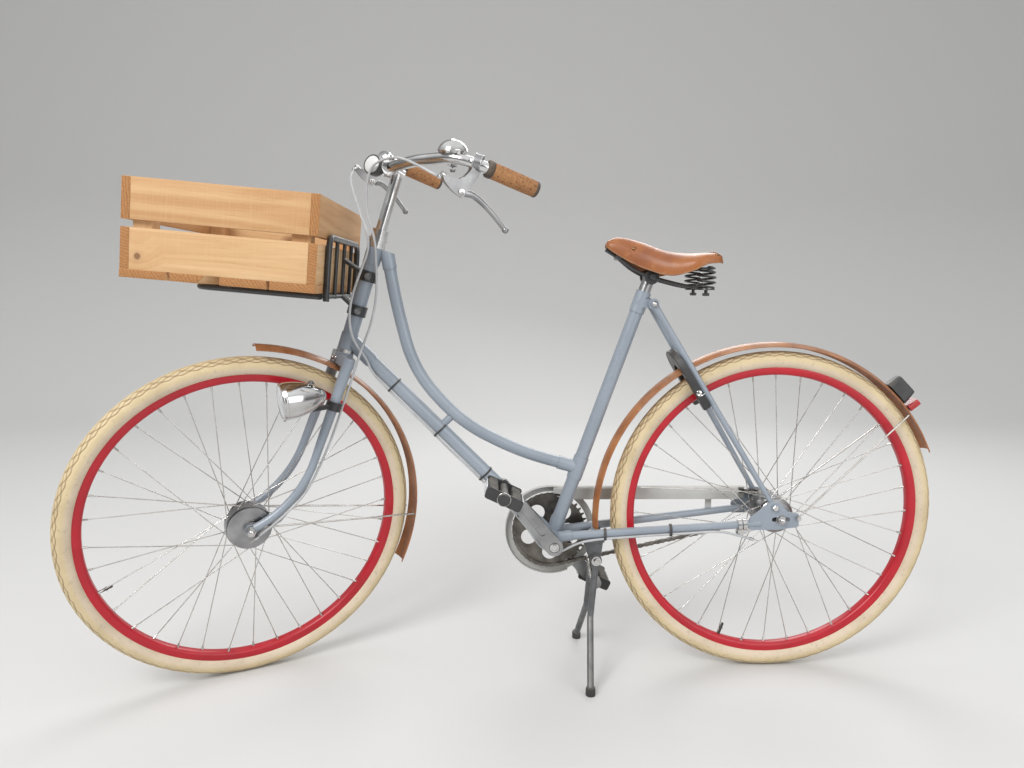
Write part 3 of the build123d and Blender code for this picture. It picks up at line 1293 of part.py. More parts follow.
# Chainring with five round windows, on the right arm's boss
window_radius = 17.0
window_circle = 50.0
boss_radius_ring = 26.0
with BuildPart() as chainring:
    add(tooth_ring(bracket + side * chain_line, ring_teeth, ring_pitch_radius, 0))
    with BuildSketch(Plane(origin=bracket + side * (chain_line - 1), x_dir=(1, 0, 0), z_dir=side)):
        with PolarLocations(window_circle, 5, start_angle=18):
            Circle(window_radius)
    extrude(amount=2, mode=Mode.SUBTRACT)
    add(rod(bracket + side * (chain_line + 1), bracket + side * crank_inner, boss_radius_ring))
    add(crankset.part, mode=Mode.SUBTRACT)
pieces["chainring"] = chainring.part

# Pedals: a cage of two end plates on a tube, and two ribbed rubber blocks
pedal_half = 38.0
pedal_height = 24.0
pedal_tilt = 25.0
pedal_plate = 3.0
pedal_tube = 10.0
block_offset = 25.0
block_width = 20.0
block_height = 22.0
rib_count = 9
rib_depth = 1.5
for out, name in ((-1, "left"), (1, "right")):
    eye = bracket + arm_end * -out
    start = eye + side * out * pedal_start
    base = Plane(origin=start, x_dir=direction(180 - pedal_tilt), z_dir=side * out)
    with BuildPart() as cage:
        for place in (0, pedal_length - pedal_plate):
            with BuildSketch(base.offset(place)):
                RectangleRounded(2 * pedal_half, pedal_height, 6)
            extrude(amount=pedal_plate)
        add(rod(start, start + side * out * pedal_length, pedal_tube))
        add(rod(start - side * out * 9, start + side * out * (pedal_length + 9), pedal_axle_radius + running_gap),
            mode=Mode.SUBTRACT)
    pieces[f"pedal_{name}_cage"] = cage.part
    rib_pitch = (pedal_length - 2 * pedal_plate) / rib_count
    with BuildPart() as blocks:
        with BuildSketch(base.offset(pedal_plate)):
            with Locations((-block_offset, 0), (block_offset, 0)):
                RectangleRounded(block_width, block_height, 4)
        extrude(amount=pedal_length - 2 * pedal_plate)
        for rib in range(1, rib_count):
            with BuildSketch(base.offset(pedal_plate + rib * rib_pitch - 1)):
                for up in (-1, 1):
                    with Locations((0, up * block_height / 2)):
                        Rectangle(2 * pedal_half + 4, 2 * rib_depth)
            extrude(amount=2, mode=Mode.SUBTRACT)
    pieces[f"pedal_{name}_rubber"] = blocks.part

# Two-leg stand with flared feet
stand_reach = 20.0
stand_flare = 128.0
knee_ahead = 10.0
foot_half = 130.0
foot_radius = 9.0
foot_height = 16.0
leg_radius = 7.0
eye_radius = 12.5
cross_bar_drop = 34.0
leg_half = leg_inner + leg_eye / 2 + 2
with BuildPart() as stand_legs:
    for out in (-1, 1):
        eye = stand_pivot + side * out * leg_inner
        knee = stand_pivot + Vector(-knee_ahead, out * leg_half, -stand_flare)
        foot = Vector(stand_pivot.X - stand_reach, out * foot_half, 0)
        add(rod(eye, eye + side * out * leg_eye, eye_radius))
        add(rod(stand_pivot + Vector(0, out * leg_half, -6), knee, leg_radius))
        add(rod(knee + Vector(0, 0, 2), foot + Vector(0, 0, 10), leg_radius))
        add(Sphere(leg_radius, mode=Mode.PRIVATE).moved(Location(knee)))
        add(rod(foot, foot + Vector(0, 0, foot_height), foot_radius))
    bar = stand_pivot + Vector(-3, 0, -cross_bar_drop)
    add(rod(bar - side * leg_half, bar + side * leg_half, 5.0))
    add(rod(stand_pivot - side * 60, stand_pivot + side * 60, stand_pin_radius + running_gap), mode=Mode.SUBTRACT)
    with Locations((foot.X, 0, -10)):
        Box(400, 400, 20, mode=Mode.SUBTRACT)
pieces["stand_legs"] = stand_legs.part

os.makedirs("parts", exist_ok=True)
for name, piece in turned_pieces.items():
    pieces[name] = piece.rotate(steer_axis, rest_steering)
for name, piece in pieces.items():
    piece.label = name
    export_step(piece, f"parts/{name}.step")
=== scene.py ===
import json
import random
from itertools import product
from math import acos, atan2, copysign, cos, pi, radians, sin, sqrt

import bpy
import numpy as np
from mathutils import Euler, Matrix, Vector, noise


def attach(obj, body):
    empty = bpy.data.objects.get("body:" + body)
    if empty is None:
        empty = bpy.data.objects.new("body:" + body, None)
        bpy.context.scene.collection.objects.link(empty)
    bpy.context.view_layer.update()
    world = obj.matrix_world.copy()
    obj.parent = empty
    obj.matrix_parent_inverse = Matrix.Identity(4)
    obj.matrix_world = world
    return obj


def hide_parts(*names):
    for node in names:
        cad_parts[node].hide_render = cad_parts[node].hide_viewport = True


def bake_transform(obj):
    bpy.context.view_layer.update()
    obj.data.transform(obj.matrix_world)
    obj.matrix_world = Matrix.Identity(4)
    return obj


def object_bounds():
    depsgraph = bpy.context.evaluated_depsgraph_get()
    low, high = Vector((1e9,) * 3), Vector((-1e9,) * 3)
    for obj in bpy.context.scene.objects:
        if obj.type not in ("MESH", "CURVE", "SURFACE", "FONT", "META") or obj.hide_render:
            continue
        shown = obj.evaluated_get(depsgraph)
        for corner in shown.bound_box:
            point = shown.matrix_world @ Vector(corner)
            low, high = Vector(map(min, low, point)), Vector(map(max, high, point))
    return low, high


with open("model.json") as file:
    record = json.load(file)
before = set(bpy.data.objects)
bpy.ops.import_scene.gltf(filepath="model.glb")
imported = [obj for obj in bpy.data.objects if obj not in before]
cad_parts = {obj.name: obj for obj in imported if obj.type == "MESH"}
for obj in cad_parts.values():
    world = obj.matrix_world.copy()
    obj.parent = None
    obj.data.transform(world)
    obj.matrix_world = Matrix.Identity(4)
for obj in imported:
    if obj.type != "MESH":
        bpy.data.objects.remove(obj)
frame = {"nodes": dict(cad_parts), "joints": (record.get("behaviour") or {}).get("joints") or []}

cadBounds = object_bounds()
joints = {joint["name"]: joint for joint in frame["joints"]}
wheelSide = Vector((0, 1, 0))
upright = Vector((0, 0, 1))
random.seed(12)
noise.seed_set(12)  # without it the crate's boards warp differently on each run


def mm(*numbers):  # a place or a step, given in millimetres
    return Vector(numbers) / 1000


def wheelPoint(turn, radius, side=0):  # in mm, about the middle of a wheel
    return mm(cos(turn) * radius, side, sin(turn) * radius)


def circle(first, second, turn):  # one step out, turned from the first direction to the second
    return first * cos(turn) + second * sin(turn)


# Shader nodes

def feed(tree, socket, item):  # a number or colour is set on the socket, an output is linked to it
    if isinstance(item, bpy.types.NodeSocket):
        tree.links.new(item, socket)
    elif isinstance(item, tuple) and socket.type == "RGBA":
        socket.default_value = (*item, 1)
    else:
        socket.default_value = item


def addNode(tree, kind, given=(), output=0, **settings):  # given says what feeds which socket
    node = tree.nodes.new("ShaderNode" + kind)
    for key, value in settings.items():
        setattr(node, key, value)
    for key, item in dict(given).items():
        feed(tree, node.inputs[key], item)
    return node.outputs[output]


def calculate(tree, operation, first, second=0.0):
    return addNode(tree, "Math", {0: first, 1: second}, operation=operation)


def times(tree, first, second):
    return calculate(tree, "MULTIPLY", first, second)


def remap(tree, value, low, high, first=0.0, last=1.0):
    return addNode(tree, "MapRange", enumerate((value, low, high, first, last)))


def mixColors(tree, share, first, second, kind="MIX"):
    return addNode(tree, "Mix", {0: share, 6: first, 7: second}, 2, data_type="RGBA", blend_type=kind)


def layered(tree, color, *layers):  # a layer is a mask and the colour that it lays on
    for mask, tint in layers:
        color = mixColors(tree, mask, color, tint)
    return color


def objectPlace(tree):
    return addNode(tree, "TexCoord", output="Object")


def attribute(tree, name, output="Fac"):
    return addNode(tree, "Attribute", output=output, attribute_name=name)


def texture(tree, kind, place, given, output="Fac", stretch=None, **settings):
    if stretch:
        place = addNode(tree, "Mapping", {"Vector": place, "Scale": stretch})
    return addNode(tree, "Tex" + kind, {"Vector": place, **given}, output, **settings)


def startMaterial(name):
    materials[name] = bpy.data.materials.new(name)
    materials[name].use_nodes = True
    return materials[name].node_tree


def finishMaterial(tree, color, rough, height, depth, more=()):  # depth in mm
    bump = addNode(tree, "Bump", {"Height": height, "Distance": depth / 1000})
    sockets = tree.nodes["Principled BSDF"].inputs
    for label, item in {"Base Color": color, "Roughness": rough, "Normal": bump, **dict(more)}.items():
        feed(tree, sockets[label], item)


materials = {}

# Camera, lights and floor

cameraSetup = {"place": (-0.6098, -1.5943, 0.8303), "degrees": (82.7597, -0.3023, -1.6108),
               "lens": 26.731, "sensor": 36}
lightSetup = {  # place, power and size
    "key": ((-2.4, -2.6, 3.0), 92, 1.5),
    "fill": ((1.7, -2.8, 1.5), 36, 2.4),
    "back": ((0.2, 2.6, 2.6), 48, 2.0),
}
stage = {"floor": (0.6, 0.595, 0.585), "rough": 0.9, "sky": (0.93, 0.94, 0.95),
              "skyRange": (0.12, 0.75, 0.22, 1.15), "reach": 9.0, "bend": 1.6, "back": 4.6, "steps": 24}


def addObject(name, data):
    item = bpy.data.objects.new(name, data)
    bpy.context.scene.collection.objects.link(item)
    return item


def addCamera():
    lens = bpy.data.cameras.new("camera")
    lens.lens = cameraSetup["lens"]
    lens.sensor_width = cameraSetup["sensor"]
    camera = addObject("camera", lens)
    camera.location = cameraSetup["place"]
    camera.rotation_euler = Euler([radians(angle) for angle in cameraSetup["degrees"]], "XYZ")
    bpy.context.scene.camera = camera


def addLights():
    middle = (cadBounds[0] + cadBounds[1]) / 2
    for name, (place, power, size) in lightSetup.items():
        lamp = bpy.data.lights.new(name, "AREA")
        lamp.energy = power
        lamp.size = size
        item = addObject(name, lamp)
        item.location = place
        item.rotation_euler = (middle - Vector(place)).to_track_quat("-Z", "Y").to_euler()


def addStage():
    world = bpy.data.worlds.new("studio")
    bpy.context.scene.world = world
    world.use_nodes = True
    tree = world.node_tree
    sky = tree.nodes["Background"].inputs
    high = addNode(tree, "SeparateXYZ", {0: addNode(tree, "TexCoord", output="Generated")}, "Z")
    feed(tree, sky["Color"], stage["sky"])
    feed(tree, sky["Strength"], remap(tree, high, *stage["skyRange"]))
    reach, bend, back, steps = stage["reach"], stage["bend"], stage["back"], stage["steps"]
    outline = [(-reach, 0.0), (back - bend, 0.0)]
    for step in range(1, steps + 1):
        turn = pi / 2 * step / steps
        outline.append((back - bend + bend * sin(turn), bend - bend * cos(turn)))
    outline.append((back, reach))
    corners = [(side, along, up) for along, up in outline for side in (-reach, reach)]
    mesh = bpy.data.meshes.new("floor")
    mesh.from_pydata(corners, [], [(2 * k, 2 * k + 1, 2 * k + 3, 2 * k + 2) for k in range(len(outline) - 1)])
    mesh.shade_smooth()
    paint = startMaterial("floorPaint").nodes["Principled BSDF"].inputs
    paint["Base Color"].default_value = (*stage["floor"], 1)
    paint["Roughness"].default_value = stage["rough"]
    mesh.materials.append(materials["floorPaint"])
    addObject("floor", mesh)


bpy.context.scene.view_settings.view_transform = "Standard"
addCamera()
addLights()
addStage()
print("camera and lights ready")


# Shader groups that several materials share

def startGroup(name, **given):
    tree = bpy.data.node_groups.new(name, "ShaderNodeTree")
    for label, value in given.items():
        socket = tree.interface.new_socket(name=label, in_out="INPUT", socket_type="NodeSocketFloat")
        socket.default_value = value
    tree.interface.new_socket(name="Mask", in_out="OUTPUT", socket_type="NodeSocketFloat")
    return tree, tree.nodes.new("NodeGroupInput").outputs, tree.nodes.new("NodeGroupOutput").inputs["Mask"]


def placeGroup(tree, group, **values):
    return addNode(tree, "Group", values, "Mask", node_tree=group)


def clouded(tree, scale, low=0.35, high=0.65):
    return placeGroup(tree, mottle, Scale=scale, Low=low, High=high)


def makeMottleGroup():
    tree, given, mask = startGroup("mottle", Scale=10.0, Low=0.35, High=0.65)
    cloud = texture(tree, "Noise", objectPlace(tree), {"Scale": given["Scale"], "Detail": 6})
    feed(tree, mask, remap(tree, cloud, given["Low"], given["High"]))
    return tree


def makeEdgeGroup():
    tree, given, mask = startGroup("edgeWear", Radius=0.001, Scale=60.0, Amount=0.5)
    soft = addNode(tree, "Bevel", {"Radius": given["Radius"]}, samples=4)
    flat = addNode(tree, "NewGeometry", output="Normal")
    alike = addNode(tree, "VectorMath", {0: soft, 1: flat}, "Value", operation="DOT_PRODUCT")
    worn = times(tree, remap(tree, alike, 0.995, 0.9), clouded(tree, given["Scale"]))
    feed(tree, mask, times(tree, worn, given["Amount"]))
    return tree


def makeDustGroup():
    tree, given, mask = startGroup("dust", Amount=0.3, Scale=25.0)
    high = addNode(tree, "SeparateXYZ", {0: addNode(tree, "NewGeometry", output="Normal")}, "Z")
    laid = times(tree, remap(tree, high, 0.1, 0.95), clouded(tree, given["Scale"], 0.3, 0.75))
    feed(tree, mask, times(tree, laid, given["Amount"]))
    return tree


mottle = makeMottleGroup()
edgeWear = makeEdgeGroup()
dust = makeDustGroup()

# Finishes of metal, plastic and rubber: two colours, scale of the clouding, lowest and highest roughness,
# bump scale, bump depth in mm and dust, then what only some have

finishes = {
    "framePaint": ((0.285, 0.325, 0.375), (0.235, 0.27, 0.315), 7, 0.27, 0.42, 260, 0.05, 0.22,
        {"coat": 0.35, "edge": ((0.12, 0.12, 0.12), 0.35)}),
    "guardGrey": ((0.52, 0.52, 0.5), (0.42, 0.42, 0.4), 12, 0.38, 0.6, 180, 0.1, 0.4,
        {"edge": ((0.2, 0.19, 0.18), 0.5)}),
    "chrome": ((0.66, 0.66, 0.66), (0.52, 0.51, 0.5), 18, 0.08, 0.24, 420, 0.02, 0.12,
        {"metal": 1, "edge": ((0.5, 0.47, 0.42), 0.3)}),
    "alloy": ((0.4, 0.4, 0.405), (0.25, 0.25, 0.255), 22, 0.26, 0.46, 340, 0.06, 0.25,
        {"metal": 1, "edge": ((0.7, 0.7, 0.68), 0.5)}),
    "wireSteel": ((0.62, 0.61, 0.59), (0.46, 0.44, 0.41), 30, 0.2, 0.36, 500, 0.02, 0.15, {"metal": 1}),
    "castGrey": ((0.17, 0.175, 0.18), (0.1, 0.102, 0.105), 26, 0.38, 0.62, 300, 0.25, 0.45,
        {"metal": 0.55, "edge": ((0.42, 0.42, 0.41), 0.6)}),
    "blackMetal": ((0.022, 0.023, 0.025), (0.035, 0.036, 0.038), 14, 0.25, 0.45, 220, 0.08, 0.3,
        {"coat": 0.3, "edge": ((0.22, 0.2, 0.18), 0.45)}),
    "blackPlastic": ((0.028, 0.028, 0.029), (0.045, 0.045, 0.045), 16, 0.36, 0.55, 700, 0.06, 0.35,
        {"edge": ((0.1, 0.1, 0.1), 0.4)}),
    "blackRubber": ((0.03, 0.029, 0.028), (0.055, 0.053, 0.05), 20, 0.6, 0.85, 600, 0.1, 0.5,
        {"edge": ((0.12, 0.11, 0.1), 0.5)}),
    "cableSleeve": ((0.5, 0.51, 0.52), (0.4, 0.41, 0.42), 30, 0.3, 0.5, 600, 0.04, 0.3, {}),
    "rimRed": ((0.47, 0.001, 0.014), (0.36, 0.001, 0.01), 10, 0.32, 0.46, 260, 0.04, 0.04,
        {"coat": 0.2, "edge": ((0.16, 0.01, 0.01), 0.4)}),
    "oiledSteel": ((0.2, 0.185, 0.165), (0.09, 0.08, 0.07), 40, 0.28, 0.55, 500, 0.1, 0.3,
        {"metal": 0.85, "edge": ((0.45, 0.42, 0.38), 0.6)}),
    "wornRubber": ((0.12, 0.085, 0.06), (0.06, 0.044, 0.034), 60, 0.5, 0.75, 500, 0.1, 0.3,
        {"edge": ((0.16, 0.11, 0.08), 0.6)}),
    "leatherEdge": ((0.36, 0.18, 0.085), (0.22, 0.1, 0.045), 60, 0.5, 0.7, 500, 0.1, 0.2, {}),
    "copper": ((0.3, 0.15, 0.075), (0.2, 0.1, 0.05), 60, 0.2, 0.4, 500, 0.03, 0.1,
        {"metal": 1, "edge": ((0.75, 0.55, 0.35), 0.5)}),
    "whitePlastic": ((0.74, 0.75, 0.74), (0.66, 0.67, 0.66), 16, 0.2, 0.35, 420, 0.03, 0.2, {"coat": 0.4}),
}
dustColor = (0.4, 0.36, 0.3)


def makeFinish(name, first, second, clouds, low, high, grain, depth, dusty, more):
    tree = startMaterial(name)
    color = mixColors(tree, clouded(tree, clouds), first, second)
    if "edge" in more:
        worn, amount = more["edge"]
        color = mixColors(tree, placeGroup(tree, edgeWear, Radius=0.0009, Scale=90, Amount=amount), color, worn)
    laid = placeGroup(tree, dust, Amount=dusty, Scale=38)
    smudged = calculate(tree, "ADD", clouded(tree, clouds * 2.7, 0.3, 0.7), laid)
    finishMaterial(tree, mixColors(tree, laid, color, dustColor), remap(tree, smudged, 0.0, 1.4, low, high),
                   clouded(tree, grain, 0.2, 0.8), depth, {"Metallic": more.get("metal", 0),
                                                           "Coat Weight": more.get("coat", 0),
                                                           "Coat Roughness": 0.18})


for name, finish in finishes.items():
    makeFinish(name, *finish)
print("finishes ready", len(finishes))


# Materials with a pattern of their own

# The groove colour, laid by groove depth, is painted shade in the tread's grooves; the clouds also darken the rubber
# at random with it
tyreFinish = {"tread": (0.65, 0.525, 0.32), "groove": (0.29, 0.2, 0.105), "wall": (0.66, 0.545, 0.41),
              "dirt": (0.3, 0.24, 0.17), "clouds": (16, 0.45, 0.8), "spots": (130, 0.58, 0.75)}


def makeTyreRubber():
    tree = startMaterial("tyreRubber")
    clouds = clouded(tree, *tyreFinish["clouds"])
    # Painted shade: the groove colour darkens the tread as deep as the grooves go; the clouds add darker patches at
    # random
    color = layered(tree, tyreFinish["tread"], (attribute(tree, "sideWall"), tyreFinish["wall"]),
                    (attribute(tree, "grooveDepth"), tyreFinish["groove"]),
                    (times(tree, clouds, 0.35), tyreFinish["groove"]),
                    (times(tree, clouded(tree, *tyreFinish["spots"]), 0.4), tyreFinish["dirt"]))
    finishMaterial(tree, color, remap(tree, clouds, 0, 1, 0.62, 0.8), clouded(tree, 900, 0.2, 0.8), 0.08)


wood = {
    "pale": (0.73, 0.51, 0.285), "warm": (0.58, 0.35, 0.165), "line": (0.5, 0.27, 0.11),
    "knot": (0.2, 0.085, 0.035), "knotPlace": (0.015, 0.024, 0.0), "knotRings": 1150,
    "endPale": (0.52, 0.26, 0.1), "endDark": (0.3, 0.12, 0.04),
}


def makeSawnWood():
    tree = startMaterial("sawnWood")
    place = attribute(tree, "boardPlace", "Vector")
    away = addNode(tree, "VectorMath", {0: place, 1: wood["knotPlace"]}, "Value", operation="DISTANCE")
    bend = addNode(tree, "CombineXYZ", {1: remap(tree, away, 0.045, 0.0, 0.0, 0.03)})
    bent = addNode(tree, "VectorMath", {0: place, 1: bend}, operation="ADD")
    figure = texture(tree, "Noise", bent, {"Scale": 1, "Detail": 5, "Distortion": 0.9}, stretch=(2.2, 34, 34))
    fibres = texture(tree, "Noise", place, {"Scale": 1, "Detail": 3}, stretch=(14, 520, 520))
    marks = texture(tree, "Noise", place, {"Scale": 1, "Detail": 2}, stretch=(420, 9, 9))
    knots = texture(tree, "Voronoi", place, {"Scale": 5.5}, "Distance", (0.8, 1.6, 1.6))
    rings = calculate(tree, "ABSOLUTE", calculate(tree, "SINE", times(tree, away, wood["knotRings"])))
    ringed = times(tree, remap(tree, rings, 0.5, 0.15), remap(tree, away, 0.017, 0.003))
    core = calculate(tree, "MAXIMUM", ringed, remap(tree, away, 0.0075, 0.0045))
    color = layered(tree, wood["pale"], (remap(tree, figure, 0.36, 0.62), wood["warm"]),
                    (remap(tree, fibres, 0.55, 0.75, 0.0, 0.42), wood["line"]),
                    (remap(tree, marks, 0.5, 0.8, 0.0, 0.3), wood["pale"]),
                    (remap(tree, knots, 0.13, 0.04, 0.0, 0.75), wood["knot"]),
                    (times(tree, core, 0.85), wood["knot"]))
    color = mixColors(tree, times(tree, attribute(tree, "boardTone"), 0.5), color, wood["warm"], "MULTIPLY")
    color = mixColors(tree, placeGroup(tree, edgeWear, Radius=0.0022, Scale=210, Amount=0.8), color, wood["line"])
    finishMaterial(tree, color, 0.72, calculate(tree, "ADD", fibres, times(tree, marks, 0.8)), 0.6)


def makeEndGrain():
    tree = startMaterial("endGrain")
    rings = texture(tree, "Wave", attribute(tree, "boardPlace", "Vector"),
                    {"Scale": 60, "Distortion": 5, "Detail": 3}, wave_type="RINGS", rings_direction="X")
    pores = clouded(tree, 620, 0.35, 0.7)
    color = layered(tree, wood["endPale"], (times(tree, rings, 0.55), wood["endDark"]),
                    (times(tree, pores, 0.5), wood["endDark"]))
    finishMaterial(tree, color, 0.85, pores, 0.9)


leather = {"honey": (0.4, 0.128, 0.024), "brown": (0.25, 0.066, 0.013), "dark": (0.075, 0.026, 0.012),
                 "rubbed": (0.56, 0.25, 0.1)}


def makeSaddleLeather():
    tree = startMaterial("saddleLeather")
    clouds = clouded(tree, 17, 0.38, 0.68)
    creases = texture(tree, "Voronoi", objectPlace(tree), {"Scale": 420}, "Distance", feature="DISTANCE_TO_EDGE")
    pebble = remap(tree, creases, 0.0, 0.12)
    color = layered(tree, leather["honey"], (clouds, leather["brown"]),
                    (remap(tree, pebble, 0, 1, 0.45, 0.0), leather["dark"]),
                    (times(tree, clouded(tree, 55, 0.62, 0.78), 0.5), leather["rubbed"]),
                    (placeGroup(tree, edgeWear, Radius=0.0018, Scale=40, Amount=0.85), leather["dark"]))
    finishMaterial(tree, color, remap(tree, clouds, 0, 1, 0.34, 0.52), pebble, 0.25,
                   {"Coat Weight": 0.25, "Coat Roughness": 0.3})


cork = {"pale": (0.45, 0.225, 0.09), "warm": (0.33, 0.145, 0.055), "pit": (0.12, 0.05, 0.022)}


def makeCork():
    tree = startMaterial("cork")
    crumbs = texture(tree, "Voronoi", objectPlace(tree), {"Scale": 330, "Randomness": 1}, "Color")
    tone, rise = (addNode(tree, "SeparateColor", {0: crumbs}, part) for part in ("Red", "Green"))
    pits = clouded(tree, 210, 0.6, 0.68)
    color = layered(tree, cork["pale"], (tone, cork["warm"]), (pits, cork["pit"]),
                    (times(tree, clouded(tree, 14, 0.4, 0.8), 0.35), cork["pit"]))
    finishMaterial(tree, color, 0.75, calculate(tree, "SUBTRACT", rise, times(tree, pits, 2)), 0.35)


guardFinish = {"tan": (0.42, 0.165, 0.055), "brown": (0.26, 0.09, 0.03), "dark": (0.06, 0.03, 0.018)}


def makeGuardTan():
    tree = startMaterial("guardTan")
    clouds = clouded(tree, 24)
    color = layered(tree, guardFinish["tan"], (clouds, guardFinish["brown"]),
                    (times(tree, clouded(tree, 150, 0.62, 0.72), 0.5), guardFinish["dark"]),
                    (placeGroup(tree, dust, Amount=0.3, Scale=30), dustColor))
    finishMaterial(tree, color, remap(tree, clouds, 0, 1, 0.34, 0.5), clouded(tree, 300, 0.2, 0.8), 0.12,
                   {"Coat Weight": 0.2})


def makeLens(name, color, rough):
    tree = startMaterial(name)
    haze = clouded(tree, 60)
    prisms = texture(tree, "Voronoi", objectPlace(tree), {"Scale": 420, "Randomness": 0}, "Distance",
                     distance="MANHATTAN")
    finishMaterial(tree, mixColors(tree, haze, color, tuple(c * 0.8 for c in color)),
                   remap(tree, haze, 0, 1, rough, rough + 0.12), prisms, 0.6,
                   {"Coat Weight": 0.8, "Coat Roughness": 0.04})


makeTyreRubber()
makeSawnWood()
makeEndGrain()
makeSaddleLeather()
makeCork()
makeGuardTan()
makeLens("lensRed", (0.46, 0.012, 0.012), 0.15)
makeLens("lensClear", (0.72, 0.74, 0.75), 0.12)
print("pattern materials ready")

# The finish that each node of the frame wears

nodeFinish = {
    "framePaint": ("head_tube", "top_tube", "down_tube", "frame_strut", "seat_tube", "bottom_bracket",
                   "chain_stays", "seat_stays", "dropouts", "fork"),
    "chrome": ("headset_cups", "headlamp", "stem", "handlebar", "bell", "front_axle_nuts", "rear_axle_nuts"),
    "alloy": ("seat_post", "brake_levers", "brake_plate", "crankset", "front_hub", "rear_hub"),
    "wireSteel": ("rear_guard_stays", "front_guard_stays", "front_spokes", "rear_spokes"),
    "blackMetal": ("saddle_frame", "carrier_platform", "carrier_hoop", "carrier_clamps", "lamp_bracket"),
    "blackPlastic": ("tail_lamp", "ring_lock", "bar_lamp", "pedal_left_cage", "pedal_right_cage"),
    "blackRubber": ("pedal_left_rubber", "pedal_right_rubber"),
    "castGrey": ("stand_bracket", "stand_legs"),
    "oiledSteel": ("chain", "chainring"),
    "guardGrey": ("chain_guard",),
    "guardTan": ("rear_mudguard", "front_mudguard"),
    "rimRed": ("rear_rim", "front_rim"),
    "tyreRubber": ("rear_tyre", "front_tyre"),
    "lensRed": ("tail_reflector",),
    "lensClear": ("lamp_lenses",),
    "saddleLeather": ("saddle_top",),
    "cork": ("grips",),
    "sawnWood": ("crate_sides", "crate_ends", "crate_posts", "crate_floor"),
    "cableSleeve": ("front_brake_cable", "rear_brake_cable"),
}
for finish, names in nodeFinish.items():
    for name in names:
        if name in frame["nodes"]:
            mesh = frame["nodes"][name].data
            mesh.materials.clear()
            mesh.materials.append(materials[finish])
print("frame nodes painted")


# Shapes are lists of parts, each with its points and faces. Places are in metres, radii and profiles in mm.

def gridFaces(rows, columns, closeRows=False, closeColumns=False):
    faces = []
    for row in range(rows if closeRows else rows - 1):
        below, above = row * columns, (row + 1) % rows * columns
        for column in range(columns if closeColumns else columns - 1):
            beside = (column + 1) % columns
            faces.append((below + column, below + beside, above + beside, above + column))
    return faces


def acrossTo(axis):
    first = axis.orthogonal().normalized()
    return first, axis.cross(first).normalized()


def lathe(profile, centre, axis, steps, closed=False):  # profile of (radius, along) points
    axis = Vector(axis).normalized()
    first, second = acrossTo(axis)
    points = []
    for step in range(steps):
        radial = circle(first, second, -2 * pi * step / steps)
        points += [centre + (radial * radius + axis * along) / 1000 for radius, along in profile]
    return [(points, gridFaces(steps, len(profile), True, closed))]


def rod(start, end, radius, sides=14, rounding=0.0):
    length = (end - start).length * 1000
    soft = min(rounding, radius, length / 2)
    profile = ((0, 0), (radius - soft, 0), (radius, soft), (radius, length - soft), (radius - soft, length),
               (0, length))
    return lathe(profile, start, end - start, sides)


def hexagon(place, axis, across, height):
    corner = across / sqrt(3)
    return lathe(((0, 0), (corner, 0), (corner, height * 0.8), (corner * 0.86, height), (0, height)),
                      place, axis, 6)


def washer(place, axis, radius, thick):
    return lathe(((0, 0), (radius, 0), (radius, thick * 0.7), (radius * 0.96, thick), (0, thick)),
                      place, axis, 28)


def domeNut(place, axis, across, height):
    corner = across / sqrt(3)
    flat = height * 0.72
    nut = ((0, 0), (corner, 0), (corner, height * 0.62), (corner * 0.88, flat), (0, flat))
    dome = [(0, height * 0.7), (across * 0.46, height * 0.7)]
    dome += [(across * 0.44 * cos(turn), flat + height * 0.45 * sin(turn))
             for turn in (0.0, 0.35, 0.7, 1.05, 1.35)] + [(0, height * 1.17)]
    return lathe(nut, place, axis, 6) + lathe(dome, place, axis, 18)


def hoop(centre, axis, radius, thick, steps, sides=8):
    turns = [2 * pi * k / sides for k in range(sides)][::-1]
    profile = [(radius + thick * cos(turn), thick * sin(turn)) for turn in turns]
    return lathe(profile, centre, axis, steps, True)


def tube(path, radius, sides=8, closed=False):  # one radius, or one at each end
    count = len(path)
    first, last = radius if isinstance(radius, tuple) else (radius, radius)
    points, aside = [], None
    for index, place in enumerate(path):
        before = path[index - 1] if closed or index else place
        after = path[(index + 1) % count] if closed or index < count - 1 else place
        run = (after - before).normalized()
        if aside is None:
            aside = run.orthogonal().normalized()
        aside = (aside - run * aside.dot(run)).normalized()
        over = run.cross(aside)
        width = (first + (last - first) * index / (count - 1)) / 1000
        points += [place + circle(aside, over, 2 * pi * side / sides) * width for side in range(sides)]
    faces = gridFaces(count, sides, closed, True)
    if not closed:
        faces += [tuple(range(sides))[::-1], tuple(range((count - 1) * sides, count * sides))]
    return [(points, faces)]


def curvePath(points, steps):  # smooth line through the points
    line = [points[0]]
    for index in range(len(points) - 1):
        first, second = points[index], points[index + 1]
        before = points[index - 1] if index else first * 2 - second
        after = points[index + 2] if index + 2 < len(points) else second * 2 - first
        for step in range(1, steps + 1):
            t = step / steps
            line.append(0.5 * ((second - before) * t + 2 * first
                               + (2 * before - 5 * first + 4 * second - after) * t * t
                               + (3 * first - before - 3 * second + after) * t ** 3))
    return line


def addPiece(name, shape, material, body, sharp=35, replaces=(), space=None):
    points, faces = [], []
    for partPoints, partFaces in shape:
        faces += [tuple(index + len(points) for index in face) for face in partFaces]
        points += partPoints
    if space:
        points = [space @ point for point in points]
    mesh = bpy.data.meshes.new(name)
    mesh.from_pydata(points, [], faces)
    mesh.update()
    mesh.shade_smooth()
    mesh.set_sharp_from_angle(angle=radians(sharp))
    mesh.materials.append(materials[material])
    piece = addObject(name, mesh)
    if body:
        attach(piece, body)
    if replaces:
        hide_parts(*replaces)
    return piece


# Tyres with their moulded tread, in metres and degrees round the section

